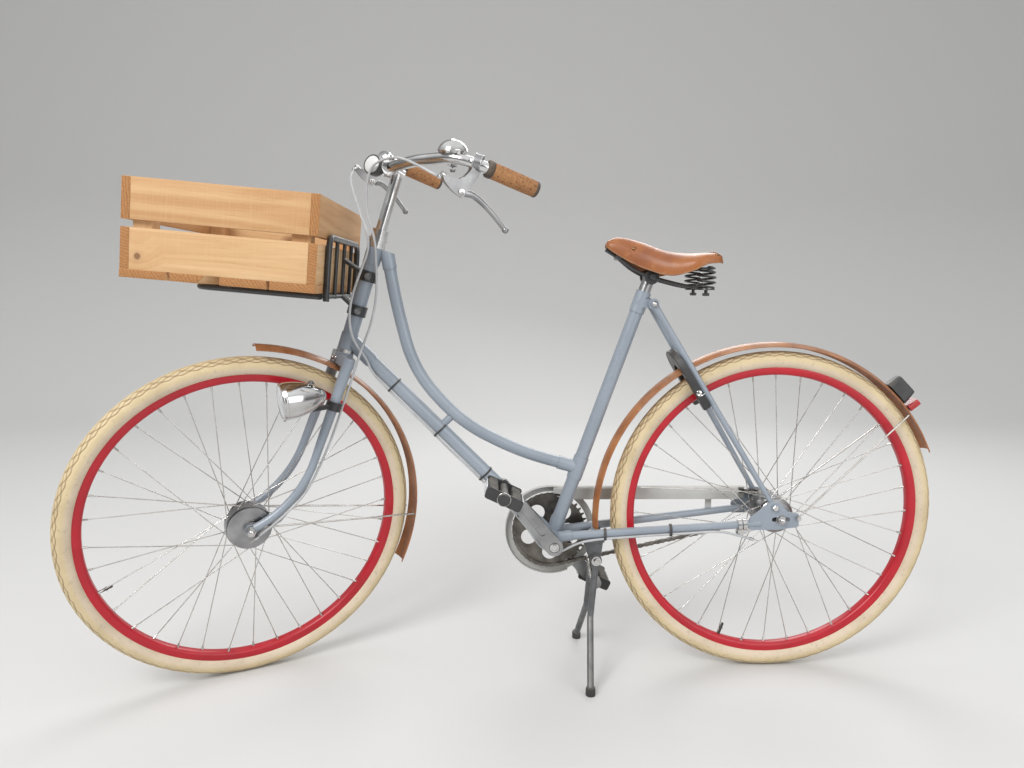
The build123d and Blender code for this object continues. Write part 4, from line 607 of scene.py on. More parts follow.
tyre = {
    "ring": 0.3305, "radius": 0.0195, "bead": 148, "innerRadius": 0.017, "innerColumns": 7,
    "steps": 1080, "treadHalf": 62, "treadColumns": 44, "wallColumns": 9, "pitch": 0.028, "groove": 0.0011,
    "waves": ((0.12, 0.05, 0.0), (0.38, 0.11, 2.1), (0.64, 0.11, 4.0), (0.87, 0.06, 0.6)),  # level, swing, phase
    "waveWidth": 0.065, "linkWidth": 0.06, "linkLevel": 0.51, "linkReach": 0.16, "steep": 1.8, "border": 0.97,
    "ribs": ((0.00045, 74, 3.0), (0.0004, 128, 5.0)), "sink": 0.0004,  # a rib's height, place and width
    "wallStart": 88, "wallFade": 14,
}


def treadDepth(along, across):  # along in pitches, across from -1 to 1
    half, side = np.abs(across), np.sign(across)
    depth = 0.0
    for level, swing, phase in tyre["waves"]:
        line = np.abs(half - level - swing * np.sin(2 * pi * along + phase + side))
        depth = np.maximum(depth, 1 - line / tyre["waveWidth"])
    slant = np.abs(np.mod(along + 0.25 * side + 0.8 * half, 1.0) - 0.5)
    links = np.maximum(1 - slant / tyre["linkWidth"], 0) * (np.abs(half - tyre["linkLevel"]) < tyre["linkReach"])
    return np.minimum(1.0, np.maximum(depth, links) * tyre["steep"]) * (half < tyre["border"])


def addTyre(node, body, centre, axis):
    steps = tyre["steps"]
    tread = np.linspace(-tyre["treadHalf"], tyre["treadHalf"], tyre["treadColumns"])
    wall = np.linspace(tyre["treadHalf"], tyre["bead"], tyre["wallColumns"] + 1)[1:]
    angles = np.concatenate([-wall[::-1], tread, wall])
    repeats = round(2 * pi * (tyre["ring"] + tyre["radius"]) / tyre["pitch"])
    share = np.arange(steps)[:, None] / steps
    across = angles[None, :] / tyre["treadHalf"]
    depth = np.where(np.abs(across) < 1, treadDepth(share * repeats, across), 0.0)
    ribs = sum(height * np.exp(-((np.abs(angles) - middle) / width) ** 2) for height, middle, width in tyre["ribs"])
    out = tyre["radius"] - tyre["groove"] * depth + ribs[None, :] - tyre["sink"]
    inner = np.linspace(tyre["bead"], -tyre["bead"], tyre["innerColumns"])
    out = np.concatenate([out, np.full((steps, len(inner)), tyre["innerRadius"])], 1)
    section = np.radians(np.concatenate([angles, inner]))[None, :]
    radius = tyre["ring"] + out * np.cos(section)
    place = out * np.sin(section)
    first, second = acrossTo(axis)
    turn = 2 * pi * share
    radial = np.cos(turn)[:, :, None] * np.array(first) - np.sin(turn)[:, :, None] * np.array(second)
    points = np.array(centre) + radial * radius[:, :, None] + place[:, :, None] * np.array(axis)
    columns = radius.shape[1]
    piece = addPiece(node + "_rubber", [(points.reshape(-1, 3).tolist(), gridFaces(steps, columns, True, True))],
                     "tyreRubber", body, 60, (node,))
    walls = np.clip((np.abs(angles) - tyre["wallStart"]) / tyre["wallFade"], 0, 1)
    # grooveDepth also lays the painted shade in the tread's grooves
    for label, values in (("grooveDepth", depth), ("sideWall", walls)):
        grid = np.zeros((steps, columns), np.float32)
        grid[:, :len(angles)] = values
        piece.data.attributes.new(label, "FLOAT", "POINT").data.foreach_set("value", grid.ravel())


for end in ("rear", "front"):
    joint = joints[end + "_wheel_spin"]
    addTyre(end + "_tyre", end + "_wheel", Vector(joint["pos_m"]), Vector(joint["axis"]).normalized())
print("tyres ready")


# Wooden crate, board by board, in metres

crate = {
    "rear": (-0.93002, 0, 0.81099), "tilt": 4.8, "ahead": -0.006, "length": 0.346, "half": 0.215, "low": 0.0063,
    "side": 0.013, "end": 0.016, "floor": 0.015, "post": 0.034, "board": 0.074, "gap": 0.013, "postShort": 0.002,
    "floorBoards": 4, "floorGap": 0.006, "rounding": 0.0012, "cell": 0.02, "warp": 0.0005,
    "wane": 0.034, "waneLength": 0.16,
}


def crateBoards():  # lowest corner, size and grain axis of each board; x runs rearwards, z up the crate's side
    side, end, half, board, post = (crate[key] for key in ("side", "end", "half", "board", "post"))
    back = -crate["ahead"]
    front = back - crate["length"]
    low = crate["low"] + crate["floor"]
    boards = {"crate_sides": [], "crate_ends": [], "crate_posts": [], "crate_floor": []}
    for up in (low, low + board + crate["gap"]):
        for right in (-half, half - side):
            size = (crate["length"] - 2 * end, side, board)
            boards["crate_sides"].append(((front + end, right, up), size, 0))
        for along in (front, back - end):
            boards["crate_ends"].append(((along, -half, up), (end, 2 * half, board), 1))
    height = 2 * board + crate["gap"] - crate["postShort"]
    for along in (front + end, back - end - post):
        for right in (side - half, half - side - post):
            boards["crate_posts"].append(((along, right, low), (post, post, height), 2))
    width = (crate["length"] - (crate["floorBoards"] - 1) * crate["floorGap"]) / crate["floorBoards"]
    for index in range(crate["floorBoards"]):
        along = back - index * (width + crate["floorGap"]) - width
        boards["crate_floor"].append(((along, -half, crate["low"]), (width, 2 * half, crate["floor"]), 1))
    return boards


def boardLattice(size, rounding, cell):  # rounded box, with the axis that each face looks along
    lines = []
    for length in size:
        count = max(1, round((length - 2 * rounding) / cell))
        inner = [rounding + (length - 2 * rounding) * step / count for step in range(count + 1)]
        lines.append([0.0, rounding * 0.3] + inner + [length - rounding * 0.3, length])
    places, points, faces, facing = {}, [], [], []
    for axis in range(3):
        across, over = (axis + 1) % 3, (axis + 2) % 3
        for end in (0, len(lines[axis]) - 1):
            for first, second in product(range(len(lines[across]) - 1), range(len(lines[over]) - 1)):
                face = []
                for column, row in ((0, 0), (1, 0), (1, 1), (0, 1)):
                    key = [end] * 3
                    key[across], key[over] = first + column, second + row
                    key = tuple(key)
                    if key not in places:
                        places[key] = len(points)
                        point = Vector([line[step] for line, step in zip(lines, key)])
                        core = Vector([min(max(at, rounding), length - rounding) for at, length in zip(point, size)])
                        out = point - core
                        points.append(core + out.normalized() * rounding if out.length > 0 else point)
                    face.append(places[key])
                faces.append(tuple(face if end else face[::-1]))
                facing.append(axis)
    return points, faces, facing


def addBoards(node, boards):
    space = Matrix.Translation(crate["rear"]) @ Matrix.Rotation(radians(crate["tilt"]), 4, "Y")
    parts, ends, grains, tones = [], [], [], []
    for number, (corner, size, grain) in enumerate(boards):
        local, faces, facing = boardLattice(size, crate["rounding"], crate["cell"])
        across, over = (grain + 1) % 3, (grain + 2) % 3
        knotted = node == "crate_sides" and number == 0
        shift = Vector() if knotted else Vector([random.uniform(3, 40) for side in range(3)])
        tones += [random.uniform(0.0, 1.0)] * len(local)
        points = []
        for point in local:
            grains += [*(Vector((point[grain], point[over], point[across])) + shift)]
            if node == "crate_floor" and number == 2:
                away = min(1.0, point.y / crate["waneLength"])
                wane = crate["wane"] * (1 - away) ** 2 * (0.55 + 0.45 * (1 - point.z / size[2]))
                point = Vector((point.x * (1 - wane / size[0]), point.y, point.z))
            place = Vector(corner) + point
            points.append(place + noise.noise_vector(place * 5 + Vector((number, 0, 0))) * crate["warp"])
        parts.append((points, faces))
        ends += [1 if side == grain else 0 for side in facing]
    piece = addPiece(node + "_boards", parts, "sawnWood", "frame", 50, (node,), space)
    piece.data.materials.append(materials["endGrain"])
    piece.data.polygons.foreach_set("material_index", ends)
    piece.data.attributes.new("boardPlace", "FLOAT_VECTOR", "POINT").data.foreach_set("vector", grains)
    piece.data.attributes.new("boardTone", "FLOAT", "POINT").data.foreach_set("value", tones)


for node, boards in crateBoards().items():
    addBoards(node, boards)
print("crate ready")

# The steering's own space: straight ahead, then turned as the photograph shows it

steerJoint = joints["steering_turn"]
steerFoot = Vector(steerJoint["pos_m"])
steerUp = Vector(steerJoint["axis"]).normalized()
steerFront = Vector((-steerUp.z, 0, steerUp.x))
steerTurn = 27.4  # degrees to the left
steerSwing = (Matrix.Translation(steerFoot) @ Matrix.Rotation(radians(steerTurn), 4, steerUp)
              @ Matrix.Translation(-steerFoot))
barCentre = mm(-821.8746, 0, 1071.8399)


def steerAt(along, ahead=0, right=0):  # in mm
    return steerFoot + (steerUp * along + steerFront * ahead + wheelSide * right) / 1000


def addSteered(name, shape, material, sharp=35, replaces=()):
    addPiece(name, shape, material, "steering", sharp, replaces, steerSwing)


# Rims, with their valves and spoke nipples

rim = {
    "half": (  # radius and half width, from the bed round the bead to the middle of the inner face
        (308.6, 0), (308.6, 8.6), (309.6, 9.8), (315, 10.1), (316.1, 10.6), (316.4, 11.3), (316, 11.9), (315, 12.1),
        (310.5, 12), (306.2, 11.7), (303, 10.9), (300.6, 9.3), (299.2, 6.6), (298.7, 3.4), (298.7, 0),
    ),
    "steps": 300, "spokes": 36, "cross": 60, "end": 299.7, "rimStep": 1.3, "rimOut": 3, "flangeStep": 2.4,
    "nipple": ((0, 0), (2.9, 0), (2.7, 1.6), (2.1, 2.6), (2.1, 11), (1.47, 12), (0, 12)),
    "head": ((0, -1.2), (1.7, -0.8), (2.1, 0), (1.7, 0.9), (0, 1.3)), "headStep": 0.0042,
    "valve": ((0, 0), (3, 0), (3, 16), (4, 16.5), (4, 18.5), (2.9, 19), (2.9, 27), (2.2, 29), (0, 29.2)),
    "valvePlace": 301,
}
flanges = {"rear": ((-31, 34), (31, 34)), "front": ((-28, 44), (28, 28))}  # place and radius
valveTurns = {"rear": 250, "front": 200}


def spokeEnds(end):  # hub end, rim end and side step of each spoke, about the axle
    lines = []
    for (place, radius), shift in zip(flanges[end], (0.0, 360.0 / rim["spokes"])):
        outward = 1 if place > 0 else -1
        for index in range(rim["spokes"] // 2):
            sign = 1 if index % 2 else -1
            angle = radians(shift + index * 720.0 / rim["spokes"])
            far = angle + sign * radians(rim["cross"])
            hub = wheelPoint(angle, radius, place + sign * rim["flangeStep"])
            tip = wheelPoint(far, rim["end"], outward * rim["rimOut"] + sign * rim["rimStep"])
            lines.append((hub, tip, sign))
    return lines


def addRim(end, space):
    body = end + "_wheel"
    half = rim["half"]
    profile = [(radius, side) for radius, side in half[-2:0:-1]] + [(radius, -side) for radius, side in half]
    addPiece(end + "_rim_ring", lathe(profile, Vector(), wheelSide, rim["steps"], True), "rimRed", body, 40,
             (end + "_rim",), space)
    nipples, heads = [], []
    for hub, tip, sign in spokeEnds(end):
        run = (hub - tip).normalized()
        nipples += lathe(rim["nipple"], tip - run * 0.001, run, 10)
        head = hub - wheelSide * sign * rim["headStep"]
        heads += lathe(rim["head"], head, wheelSide, 10) + rod(head, hub, 1.05, 8)
    addPiece(end + "_nipples", nipples, "wireSteel", body, space=space)
    addPiece(end + "_spoke_heads", heads, "wireSteel", body, space=space)
    place = wheelPoint(radians(valveTurns[end]), rim["valvePlace"])
    addPiece(end + "_valve", lathe(rim["valve"], place, -place, 14), "blackRubber", body, space=space)


addRim("rear", Matrix.Translation(joints["rear_wheel_spin"]["pos_m"]))
addRim("front", steerSwing @ Matrix.Translation(steerAt(0, 100)))
print("rims ready")

# Leather saddle with its rolled skirt, rivets, rails and springs

saddleClamp = mm(-278.05, 0, 852.99)
saddle = {
    "sections": (  # place, half width, top, skirt, squareness
        (-92, 9, 68, 62, 0.9), (-89, 15, 74, 58, 0.9), (-66, 24, 81, 42, 0.9), (-22, 40, 72, 19, 0.9),
        (30, 66, 54, 3, 0.85), (70, 86, 48.5, 12, 0.7), (97, 86.5, 49.5, 24, 0.55), (122, 80, 49, 26.5, 0.5),
        (131, 71, 45, 26.5, 0.45), (134.5, 61, 37, 26.5, 0.45),
    ),
    "wall": 4.2, "columns": 41, "edgeAngle": 89.9, "longRun": 20, "runs": (3, 8),
    "hem": 1.5, "hemInset": 1.2, "rivets": ((-39, 58), (120, 10), (120, 34), (119, 60)),  # place, degrees
    "rivet": ((0, -2), (4.8, -1), (4.6, 0.6), (3.4, 1.6), (1.6, 2.1), (0, 2.2)),
    "rails": ((-67, 11, 40), (-34, 19, 15), (0, 24, 0), (66, 33, -17), (106, 49, -22)), "railRadius": 3.4,
    "spring": (106, 49, -26), "springHeight": 45, "turns": 3.6, "coilSteps": 110, "coil": (15, 2.8), "wire": 2.3,
    "cup": ((0, 0), (17.2, 0), (17.8, 1), (17.2, 3.2), (0, 3.4)),
    "cheek": ((0, -3.5), (14.5, -3.5), (15.5, -2), (15.5, 2), (14.5, 3.5), (0, 3.5)),
}


def saddlePoint(section, angle, inset=0.0):
    place, half, top, low, square = section
    half, top = half - inset, top - inset
    side = copysign(abs(sin(angle)) ** square, angle) * half
    return saddleClamp + mm(place, side, low + (top - low) * cos(angle) ** (square - 0.15))


def saddleRows():  # smooth run through the sections
    sections = [np.array(section) for section in saddle["sections"]]
    last = len(sections) - 1
    rows = []
    for index in range(last):
        first, second = sections[index], sections[index + 1]
        before, after = sections[max(index - 1, 0)], sections[min(index + 2, last)]
        length = second[0] - first[0]
        slopeIn = (second - before) / (second[0] - before[0]) * length
        slopeOut = (after - first) / (after[0] - first[0]) * length
        steps = saddle["runs"][length > saddle["longRun"]]
        for t in (step / steps for step in range(steps)):
            rows.append(first * (2 * t ** 3 - 3 * t ** 2 + 1) + slopeIn * (t ** 3 - 2 * t ** 2 + t)
                        + second * (3 * t ** 2 - 2 * t ** 3) + slopeOut * (t ** 3 - t ** 2))
    return rows + [sections[-1]]


def addSaddle():
    columns, edge = saddle["columns"], saddle["edgeAngle"]
    angles = [radians(-edge + 2 * edge * column / (columns - 1)) for column in range(columns)]
    rows = saddleRows()
    points = []
    for row in rows:
        inset = min(saddle["wall"], (row[2] - row[3]) * 0.5)
        points += [saddlePoint(row, angle) for angle in angles]
        points += [saddlePoint(row, angle, inset) for angle in angles[::-1]]
    ring = 2 * columns
    faces = [face[::-1] for face in gridFaces(len(rows), ring, False, True)]
    for start, turn in ((0, 1), ((len(rows) - 1) * ring, -1)):
        for column in range(columns - 1):
            face = (start + column, start + column + 1, start + ring - 2 - column, start + ring - 1 - column)
            faces.append(face[::turn])
    addPiece("saddle_leather", [(points, faces)], "saddleLeather", "frame", 60, ("saddle_top",))
    left, right = ([(row, radians(edge) * sign) for row in rows] for sign in (-1, 1))
    line = left + [(rows[-1], angle) for angle in angles[2:-2:2]] + right[::-1]
    line += [(rows[0], angle) for angle in angles[-2:1:-4]]
    hem = [saddlePoint(row, angle, saddle["hemInset"]) for row, angle in line]
    addPiece("saddle_hem", tube(hem, saddle["hem"], 8, True), "leatherEdge", "frame")
    rivets = []
    for place, degrees in saddle["rivets"]:
        row = min(rows, key=lambda item: abs(item[0] - place))
        for sign in (-1, 1):
            angle = radians(degrees) * sign
            near = (saddlePoint(row, angle + 0.02) - saddlePoint(row, angle - 0.02)).normalized()
            out = Vector((0.05 if place < 0 else 0.35, -near.z, near.y)).normalized()
            rivets += lathe(saddle["rivet"], saddlePoint(row, angle), -out if out.z < 0 else out, 20)
    addPiece("saddle_rivets", rivets, "copper", "frame", 50)


def addSaddleFrame():
    height, turns, steps = saddle["springHeight"], saddle["turns"], saddle["coilSteps"]
    wide, belly = saddle["coil"]
    shape = []
    for sign in (-1, 1):
        rail = [saddleClamp + mm(x, y * sign, z) for x, y, z in saddle["rails"]]
        shape += tube(curvePath(rail, 8), saddle["railRadius"], 10)
        x, y, z = saddle["spring"]
        low = saddleClamp + mm(x, y * sign, z)
        coil = []
        for t in (step / steps for step in range(steps + 1)):
            turn = 2 * pi * turns * t * sign
            radius = wide + belly * sin(pi * t)
            coil.append(low + mm(cos(turn) * radius, sin(turn) * radius, 4 + (height - 8) * t))
        shape += tube(coil, saddle["wire"], 9)
        for rise in (0, height - 3):
            shape += lathe(saddle["cup"], low + mm(0, 0, rise), upright, 28)
        shape += rod(low + mm(0, 0, -12), low + mm(0, 0, 6), 3.5)
        shape += hexagon(low + mm(0, 0, -6), -upright, 12, 6)
    nose = saddleClamp + mm(-67, 0, 40)
    shape += rod(nose + mm(0, -20, 0), nose + mm(0, 20, 0), 6, 18, 1)
    shape += rod(nose, nose + mm(-26, 0, 16), 4)
    cantle = [saddleClamp + mm(106 + 22 * (1 - (k / 8) ** 2), 66 * k / 8, 18) for k in range(-8, 9)]
    shape += tube(cantle, 4.2, 10)
    for out in (-wheelSide, wheelSide):
        shape += lathe(saddle["cheek"], saddleClamp + out * 0.024, wheelSide, 26)
        shape += hexagon(saddleClamp + out * 0.0275, out, 13, 7)
    addPiece("saddle_springs", shape, "blackMetal", "frame", 45, ("saddle_frame",))


addSaddle()
addSaddleFrame()
print("saddle ready")

# Roller chain, link by link, in mm

chain = {
    "bracket": mm(-476, 46, 294), "axle": mm(0, 46, 350), "ring": 80.936, "sprocket": 32.55, "pitch": 12.7,
    "toothStep": 9.0, "plate": 1.1, "waist": 0.72, "links": ((2.1, 3.9), (3.4, 4.1)),  # offset and half height
    "roller": (1.6, 3.8, 12, 0), "pin": (4.6, 1.8, 8, 0.3),  # half length, radius, sides, rounding
}


def linkPlate(start, end, side, height):
    along = (end - start).normalized()
    over = along.cross(wheelSide)
    outline = []
    for centre, turn, sign in ((end, -90, 1), (start, 90, -1)):
        for step in range(7):
            outline.append(centre + circle(along, over, radians(turn + 30 * step)) * height / 1000)
        outline.append((start + end) / 2 + over * height * chain["waist"] * sign / 1000)
    count = len(outline)
    half = chain["plate"] / 2
    points = [point + wheelSide * (side + step) / 1000 for step in (-half, half) for point in outline]
    faces = [tuple(range(count))[::-1], tuple(range(count, 2 * count))]
    faces += [((k + 1) % count, (k + 1) % count + count, k + count, k) for k in range(count)]
    return [(points, faces)]


def crossPin(place, half, radius, sides, rounding):
    return rod(place - mm(0, half, 0), place + mm(0, half, 0), radius, sides, rounding)


def addChain():
    bracket, axle, ring, sprocket = (chain[key] for key in ("bracket", "axle", "ring", "sprocket"))
    gap = (axle - bracket) * 1000
    lean = atan2(gap.z, gap.x)
    spread = acos((ring - sprocket) / gap.length)
    high, low = lean + spread, lean - spread
    run = sqrt(gap.length ** 2 - (ring - sprocket) ** 2)
    rear = sprocket * 2 * spread
    total = 2 * run + rear + ring * (2 * pi - 2 * spread)
    count = 2 * round(total / chain["pitch"] / 2)
    tooth = radians(chain["toothStep"])
    early = (tooth / 2 - high % tooth) % tooth * ring

    def chainPlace(length):  # point of the loop at a length from the ring's upper tangent point
        if length < run:
            return (bracket + wheelPoint(high, ring)).lerp(axle + wheelPoint(high, sprocket), length / run)
        if length < run + rear:
            return axle + wheelPoint(high - (length - run) / sprocket, sprocket)
        if length < 2 * run + rear:
            share = (length - run - rear) / run
            return (axle + wheelPoint(low, sprocket)).lerp(bracket + wheelPoint(low, ring), share)
        return bracket + wheelPoint(low - (length - 2 * run - rear) / ring, ring)

    places = [chainPlace(((k + 1) * total / count - early) % total) for k in range(count)]
    plates, rollers, pins = [], [], []
    for k, place in enumerate(places):
        offset, height = chain["links"][k % 2]
        for sign in (-1, 1):
            plates += linkPlate(place, places[(k + 1) % count], offset * sign, height)
        rollers += crossPin(place, *chain["roller"])
        pins += crossPin(place, *chain["pin"])
    addPiece("chain_links", plates + rollers + pins, "oiledSteel", "frame", 40, ("chain",))


addChain()
print("chain ready")

# Inner side of the chain guard, which hides the chain's upper run from the left

guard = {
    "profile": (  # side and height
        (39.7, 365.5), (38.5, 365.5), (38.1, 369.5), (38.5, 387.5), (39.7, 390.3), (42.5, 391.5), (43.5, 391.5),
        (43.5, 390.3), (43.1, 390.3), (40.9, 389.3), (39.8, 386.5),
    ),
    "front": -470, "rear": -58, "low": 365.5, "centre": (-476, 294), "ring": 85.8, "steps": 60, "least": 0.2,
}


def addGuardInner():
    profile, steps = guard["profile"], guard["steps"]
    points = []
    for k in range(steps + 1):
        along = guard["front"] + (guard["rear"] - guard["front"]) * k / steps
        bow = sqrt(max(0.0, guard["ring"] ** 2 - (along - guard["centre"][0]) ** 2))
        floor = max(guard["low"], guard["centre"][1] + bow)
        points += [mm(along, right, max(floor + guard["least"] * (up > guard["low"]), up)) for right, up in profile]
    size = len(profile)
    faces = gridFaces(steps + 1, size, False, True)
    faces += [tuple(range(size)), tuple(range(steps * size, (steps + 1) * size))[::-1]]
    addPiece("chain_guard_inner", [(points, faces)], "guardGrey", "frame", 40)


addGuardInner()

# Brake cables, along the points of the CAD routes

cableRadius = 0.0025
cableCap = ((0, -4), (1.8, -4), (2, -1), (4.2, 0), (4.2, 6), (3.4, 7.5), (3.4, 12), (3.1, 13.5), (0, 13.5))
cableEnd = ((0, -12), (0.9, -12), (1, 0), (3.4, 0.5), (3.4, 10), (0, 10.5))
downTop, downLine = mm(-904.731, 0, 722.591), Vector((0.707222, 0, -0.706992))
downBelow = Vector((-0.706992, 0, -0.707222))
bracketPlace = mm(-476, 0, 294)
stayFront, stayRear = mm(-464, -24, 302), mm(-42, -60, 341)


def downAt(along, low=0, right=0):  # along, under and beside the down tube, in mm
    return downTop + (downLine * along + downBelow * low + wheelSide * right) / 1000


frontRoute = [steerSwing @ steerAt(*place) for place in (
    (773.9, -4.1, -215), (776, -8, -190), (787, 15, -145), (795, 30, -95), (793, 42, -60), (780, 56, -32),
    (763, 61, -15), (738, 59, -8), (703, 49, -5), (667, 34, -8), (636, 14, -20), (591, 1, -30), (537, -18, -30),
    (476, -22, -44), (418, -16.5, -47), (388, -14, -49.7), (340, -15, -46), (286, -14, -42), (212, -8, -50),
    (141.5, 2.5, -55), (98, 14, -60), (59, 38, -65), (28, 58, -64), (2, 76, -60), (-16, 88, -56))]
rearRoute = [steerSwing @ steerAt(*place) for place in (
    (770.7, 33.5, 195), (751.8, 48.3, 160), (724, 46.9, 120), (686.5, 36.2, 72), (657, 27, 36), (637, 23, 2))]
rearRoute += [mm(*place) for place in (
    (-856, -22, 907), (-869, -32, 870), (-887, -38, 821), (-896, -40, 779), (-895, -34, 737), (-883, -26, 706),
    (-866, -22, 684))]
rearRoute += [downAt(*place) for place in (
    (82, 14, -15), (115, 17.5, -6.5), (170, 18.2, -8), (235, 17, -5), (305, 18.2, -7.5), (375, 17, -5),
    (440, 17.4, -8), (505, 18, -7))]
rearRoute += [bracketPlace + mm(*place) for place in (
    (-46, -9, 12), (-24, -14, -22), (10, -24, -31), (51, -39, -2))]
rearRoute += [stayFront.lerp(stayRear, share) - mm(0, out, low) for share, out, low in (
    (0.178, 10.4, 8.8), (0.33, 8.7, 8.7), (0.49, 9.2, 8.0), (0.65, 8.6, 9.0), (0.803, 9.1, 8.1), (0.9, 1.5, 24))]
rearRoute.append(mm(-52, -52, 303))


def routeCurve(name, route, bevel):
    curve = bpy.data.curves.new(name, "CURVE")
    curve.dimensions = "3D"
    spline = curve.splines.new("NURBS")
    spline.points.add(len(route) - 1)
    for point, place in zip(spline.points, route):
        point.co = (*place, 1)
    spline.order_u = 3
    spline.use_endpoint_u = True
    spline.resolution_u = 8
    curve.bevel_depth = bevel
    curve.bevel_resolution = 3
    return addObject(name, curve)


def splinePoints(route):  # points of the smooth line itself
    line = routeCurve("routeLine", route, 0.0)
    mesh = bpy.data.meshes.new_from_object(line)
    points = [vertex.co.copy() for vertex in mesh.vertices]
    bpy.data.objects.remove(line)
    return points


def lineLength(points):
    return sum((after - before).length for before, after in zip(points, points[1:]))


def addCables():
    front = routeCurve("front_cable_sleeve", frontRoute, cableRadius)
    front.data.use_fill_caps = True
    front.data.materials.append(materials["cableSleeve"])
    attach(front, "steering")
    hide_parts("front_brake_cable")
    line = splinePoints(frontRoute)
    print("front cable length", round(lineLength(line), 3))
    line = splinePoints(rearRoute)
    rear = addPiece("rear_cable_sleeve", tube(line, cableRadius * 1000, 12), "cableSleeve", None, 40,
                    ("rear_brake_cable",))
    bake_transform(rear)
    print("rear cable length", round(lineLength(line), 3))
    for name, route, body in (("front", frontRoute, "steering"), ("rear", rearRoute, "frame")):
        cap = lathe(cableCap, route[0], route[1] - route[0], 18)
        addPiece(name + "_cable_cap", cap, "chrome", "steering", 40)
        tail = lathe(cableEnd, route[-1], route[-2] - route[-1], 16)
        addPiece(name + "_cable_end", tail, "chrome", body, 40)


addCables()

# Cork grips with their collars and end bands

grip = {
    "start": 0.006, "root": (106.9, 229, 5.2), "tip": (209.9, 240, -30.8), "steps": 48,
    "collar": ((11.3, 0), (14.8, 0.3), (16, 1.4), (16.6, 4), (16.6, 8.5), (16.2, 11), (15.2, 12.2), (11.3, 12.4)),
    "cork": ((11.3, 11.8), (14.9, 12), (15.4, 13.6), (15.6, 30), (15.7, 52), (15.6, 74), (15.4, 96), (15.3, 101),
             (11.3, 101.4)),
    "band": ((11.3, 100.8), (15.2, 101), (15.6, 102), (15.6, 105), (15.2, 106.6), (13.8, 107.8), (11, 108.2),
             (0, 108.4)),
}


def addGrips():
    for sign, name in ((-1, "left"), (1, "right")):
        root, tip = (barCentre + mm(x, y * sign, z) for x, y, z in (grip["root"], grip["tip"]))
        axis = (tip - root).normalized()
        start = root + axis * grip["start"]
        for part, material in (("cork", "cork"), ("collar", "wornRubber"), ("band", "wornRubber")):
            replaces = ("grips",) if part == "cork" and sign < 0 else ()
            addSteered(name + "_grip_" + part, lathe(grip[part], start, axis, grip["steps"]),
                       material, 50, replaces)


addGrips()
print("cables and grips ready")

# Bell, headlamp and lever fittings

bellPlace = barCentre + mm(66, -180, 27)
bell = {
    "knob": ((0, 23.2), (5.2, 23.2), (5.6, 24), (5.2, 25.2), (3, 26.2), (0, 26.6)),
    "base": ((0, -5.2), (20.5, -5.2), (23.2, -4), (24, -0.5), (0, -0.3)),
    "lever": ((10, -6, -6), (22, -16, -8), (30, -24, -11), (36, -30, -16)),
    "thumb": ((0, -1.2), (5.2, -1), (5.8, 0), (5.2, 1), (0, 1.2)),
}


def addBellParts():
    addSteered("bell_knob", lathe(bell["knob"], bellPlace, upright, 24), "chrome")
    addSteered("bell_base", lathe(bell["base"], bellPlace, upright, 44), "castGrey")
    addSteered("bell_lip", hoop(bellPlace + mm(0, 0, 4.8), upright, 27.8, 0.7, 56), "chrome")
    lever = curvePath([bellPlace + mm(*place) for place in bell["lever"]], 6)
    thumb = lathe(bell["thumb"], lever[-1], (0.5, -0.4, 0.8), 20)
    addSteered("bell_lever", tube(lever, 1.4) + thumb, "chrome")
    bolt = bellPlace + mm(0, -2, -28.5)
    clamp = hoop(bellPlace + mm(0, -2, -10.5), (0.84, -0.54, 0), 14.6, 1.4, 40)
    addSteered("bell_bolt", hexagon(bolt, -upright, 8, 5) + washer(bolt, -upright, 6, 1) + clamp, "alloy")


lampPlace = steerAt(278, 118.5, -74)
lampLine = Vector((84, 0, 6)).normalized()
lampRibs = {"count": 9, "step": 3.1, "reach": 30.2, "sink": 4, "dish": 31, "radius": 0.85}


def addLampParts():
    addSteered("lamp_rim", hoop(lampPlace + lampLine * 0.0008, lampLine, 33.6, 2.7, 72, 12), "chrome")
    addSteered("lamp_seam", hoop(lampPlace + lampLine * 0.007, lampLine, 36.8, 0.8, 72), "chrome")
    over = lampLine.cross(wheelSide)
    ribs = []
    for k in range(-lampRibs["count"], lampRibs["count"] + 1):
        across = k * lampRibs["step"]
        reach = sqrt(lampRibs["reach"] ** 2 - across ** 2)
        row = []
        for high in (reach * step / 8 for step in range(-8, 9)):
            sink = lampRibs["sink"] * (1 - (across ** 2 + high ** 2) / lampRibs["dish"] ** 2) + 0.1
            row.append(lampPlace + (wheelSide * across + over * high - lampLine * sink) / 1000)
        ribs += tube(row, lampRibs["radius"], 6)
    addSteered("lamp_ribs", ribs, "lensClear", 60)
    bolt, axis = lampPlace + lampLine * 0.058 + mm(0, 0, 27.5), (0.05, 0, 1)
    addSteered("lamp_screw", hexagon(bolt, axis, 9, 6) + washer(bolt, axis, 7.5, 1), "alloy")
    latch = lampPlace + lampLine * 0.006 + mm(0, 0, -36.5)
    addSteered("lamp_latch", rod(latch, latch - mm(0, 0, 4), 3, 12, 0.8), "alloy")


lever = {
    "screw": ((0, 0), (6.2, 0), (6.4, 1.2), (5.5, 2.6), (0, 2.9)),
    "adjuster": ((0, -7), (3.6, -7), (3.6, 0), (5.2, 0.4), (5.2, 4.2), (4, 4.8), (4, 8.5), (0, 8.8)),
    "blade": ((-24, 0, -54.5), (-6, 3, -60), (22, 9, -84), (52, 15, -118)),
}


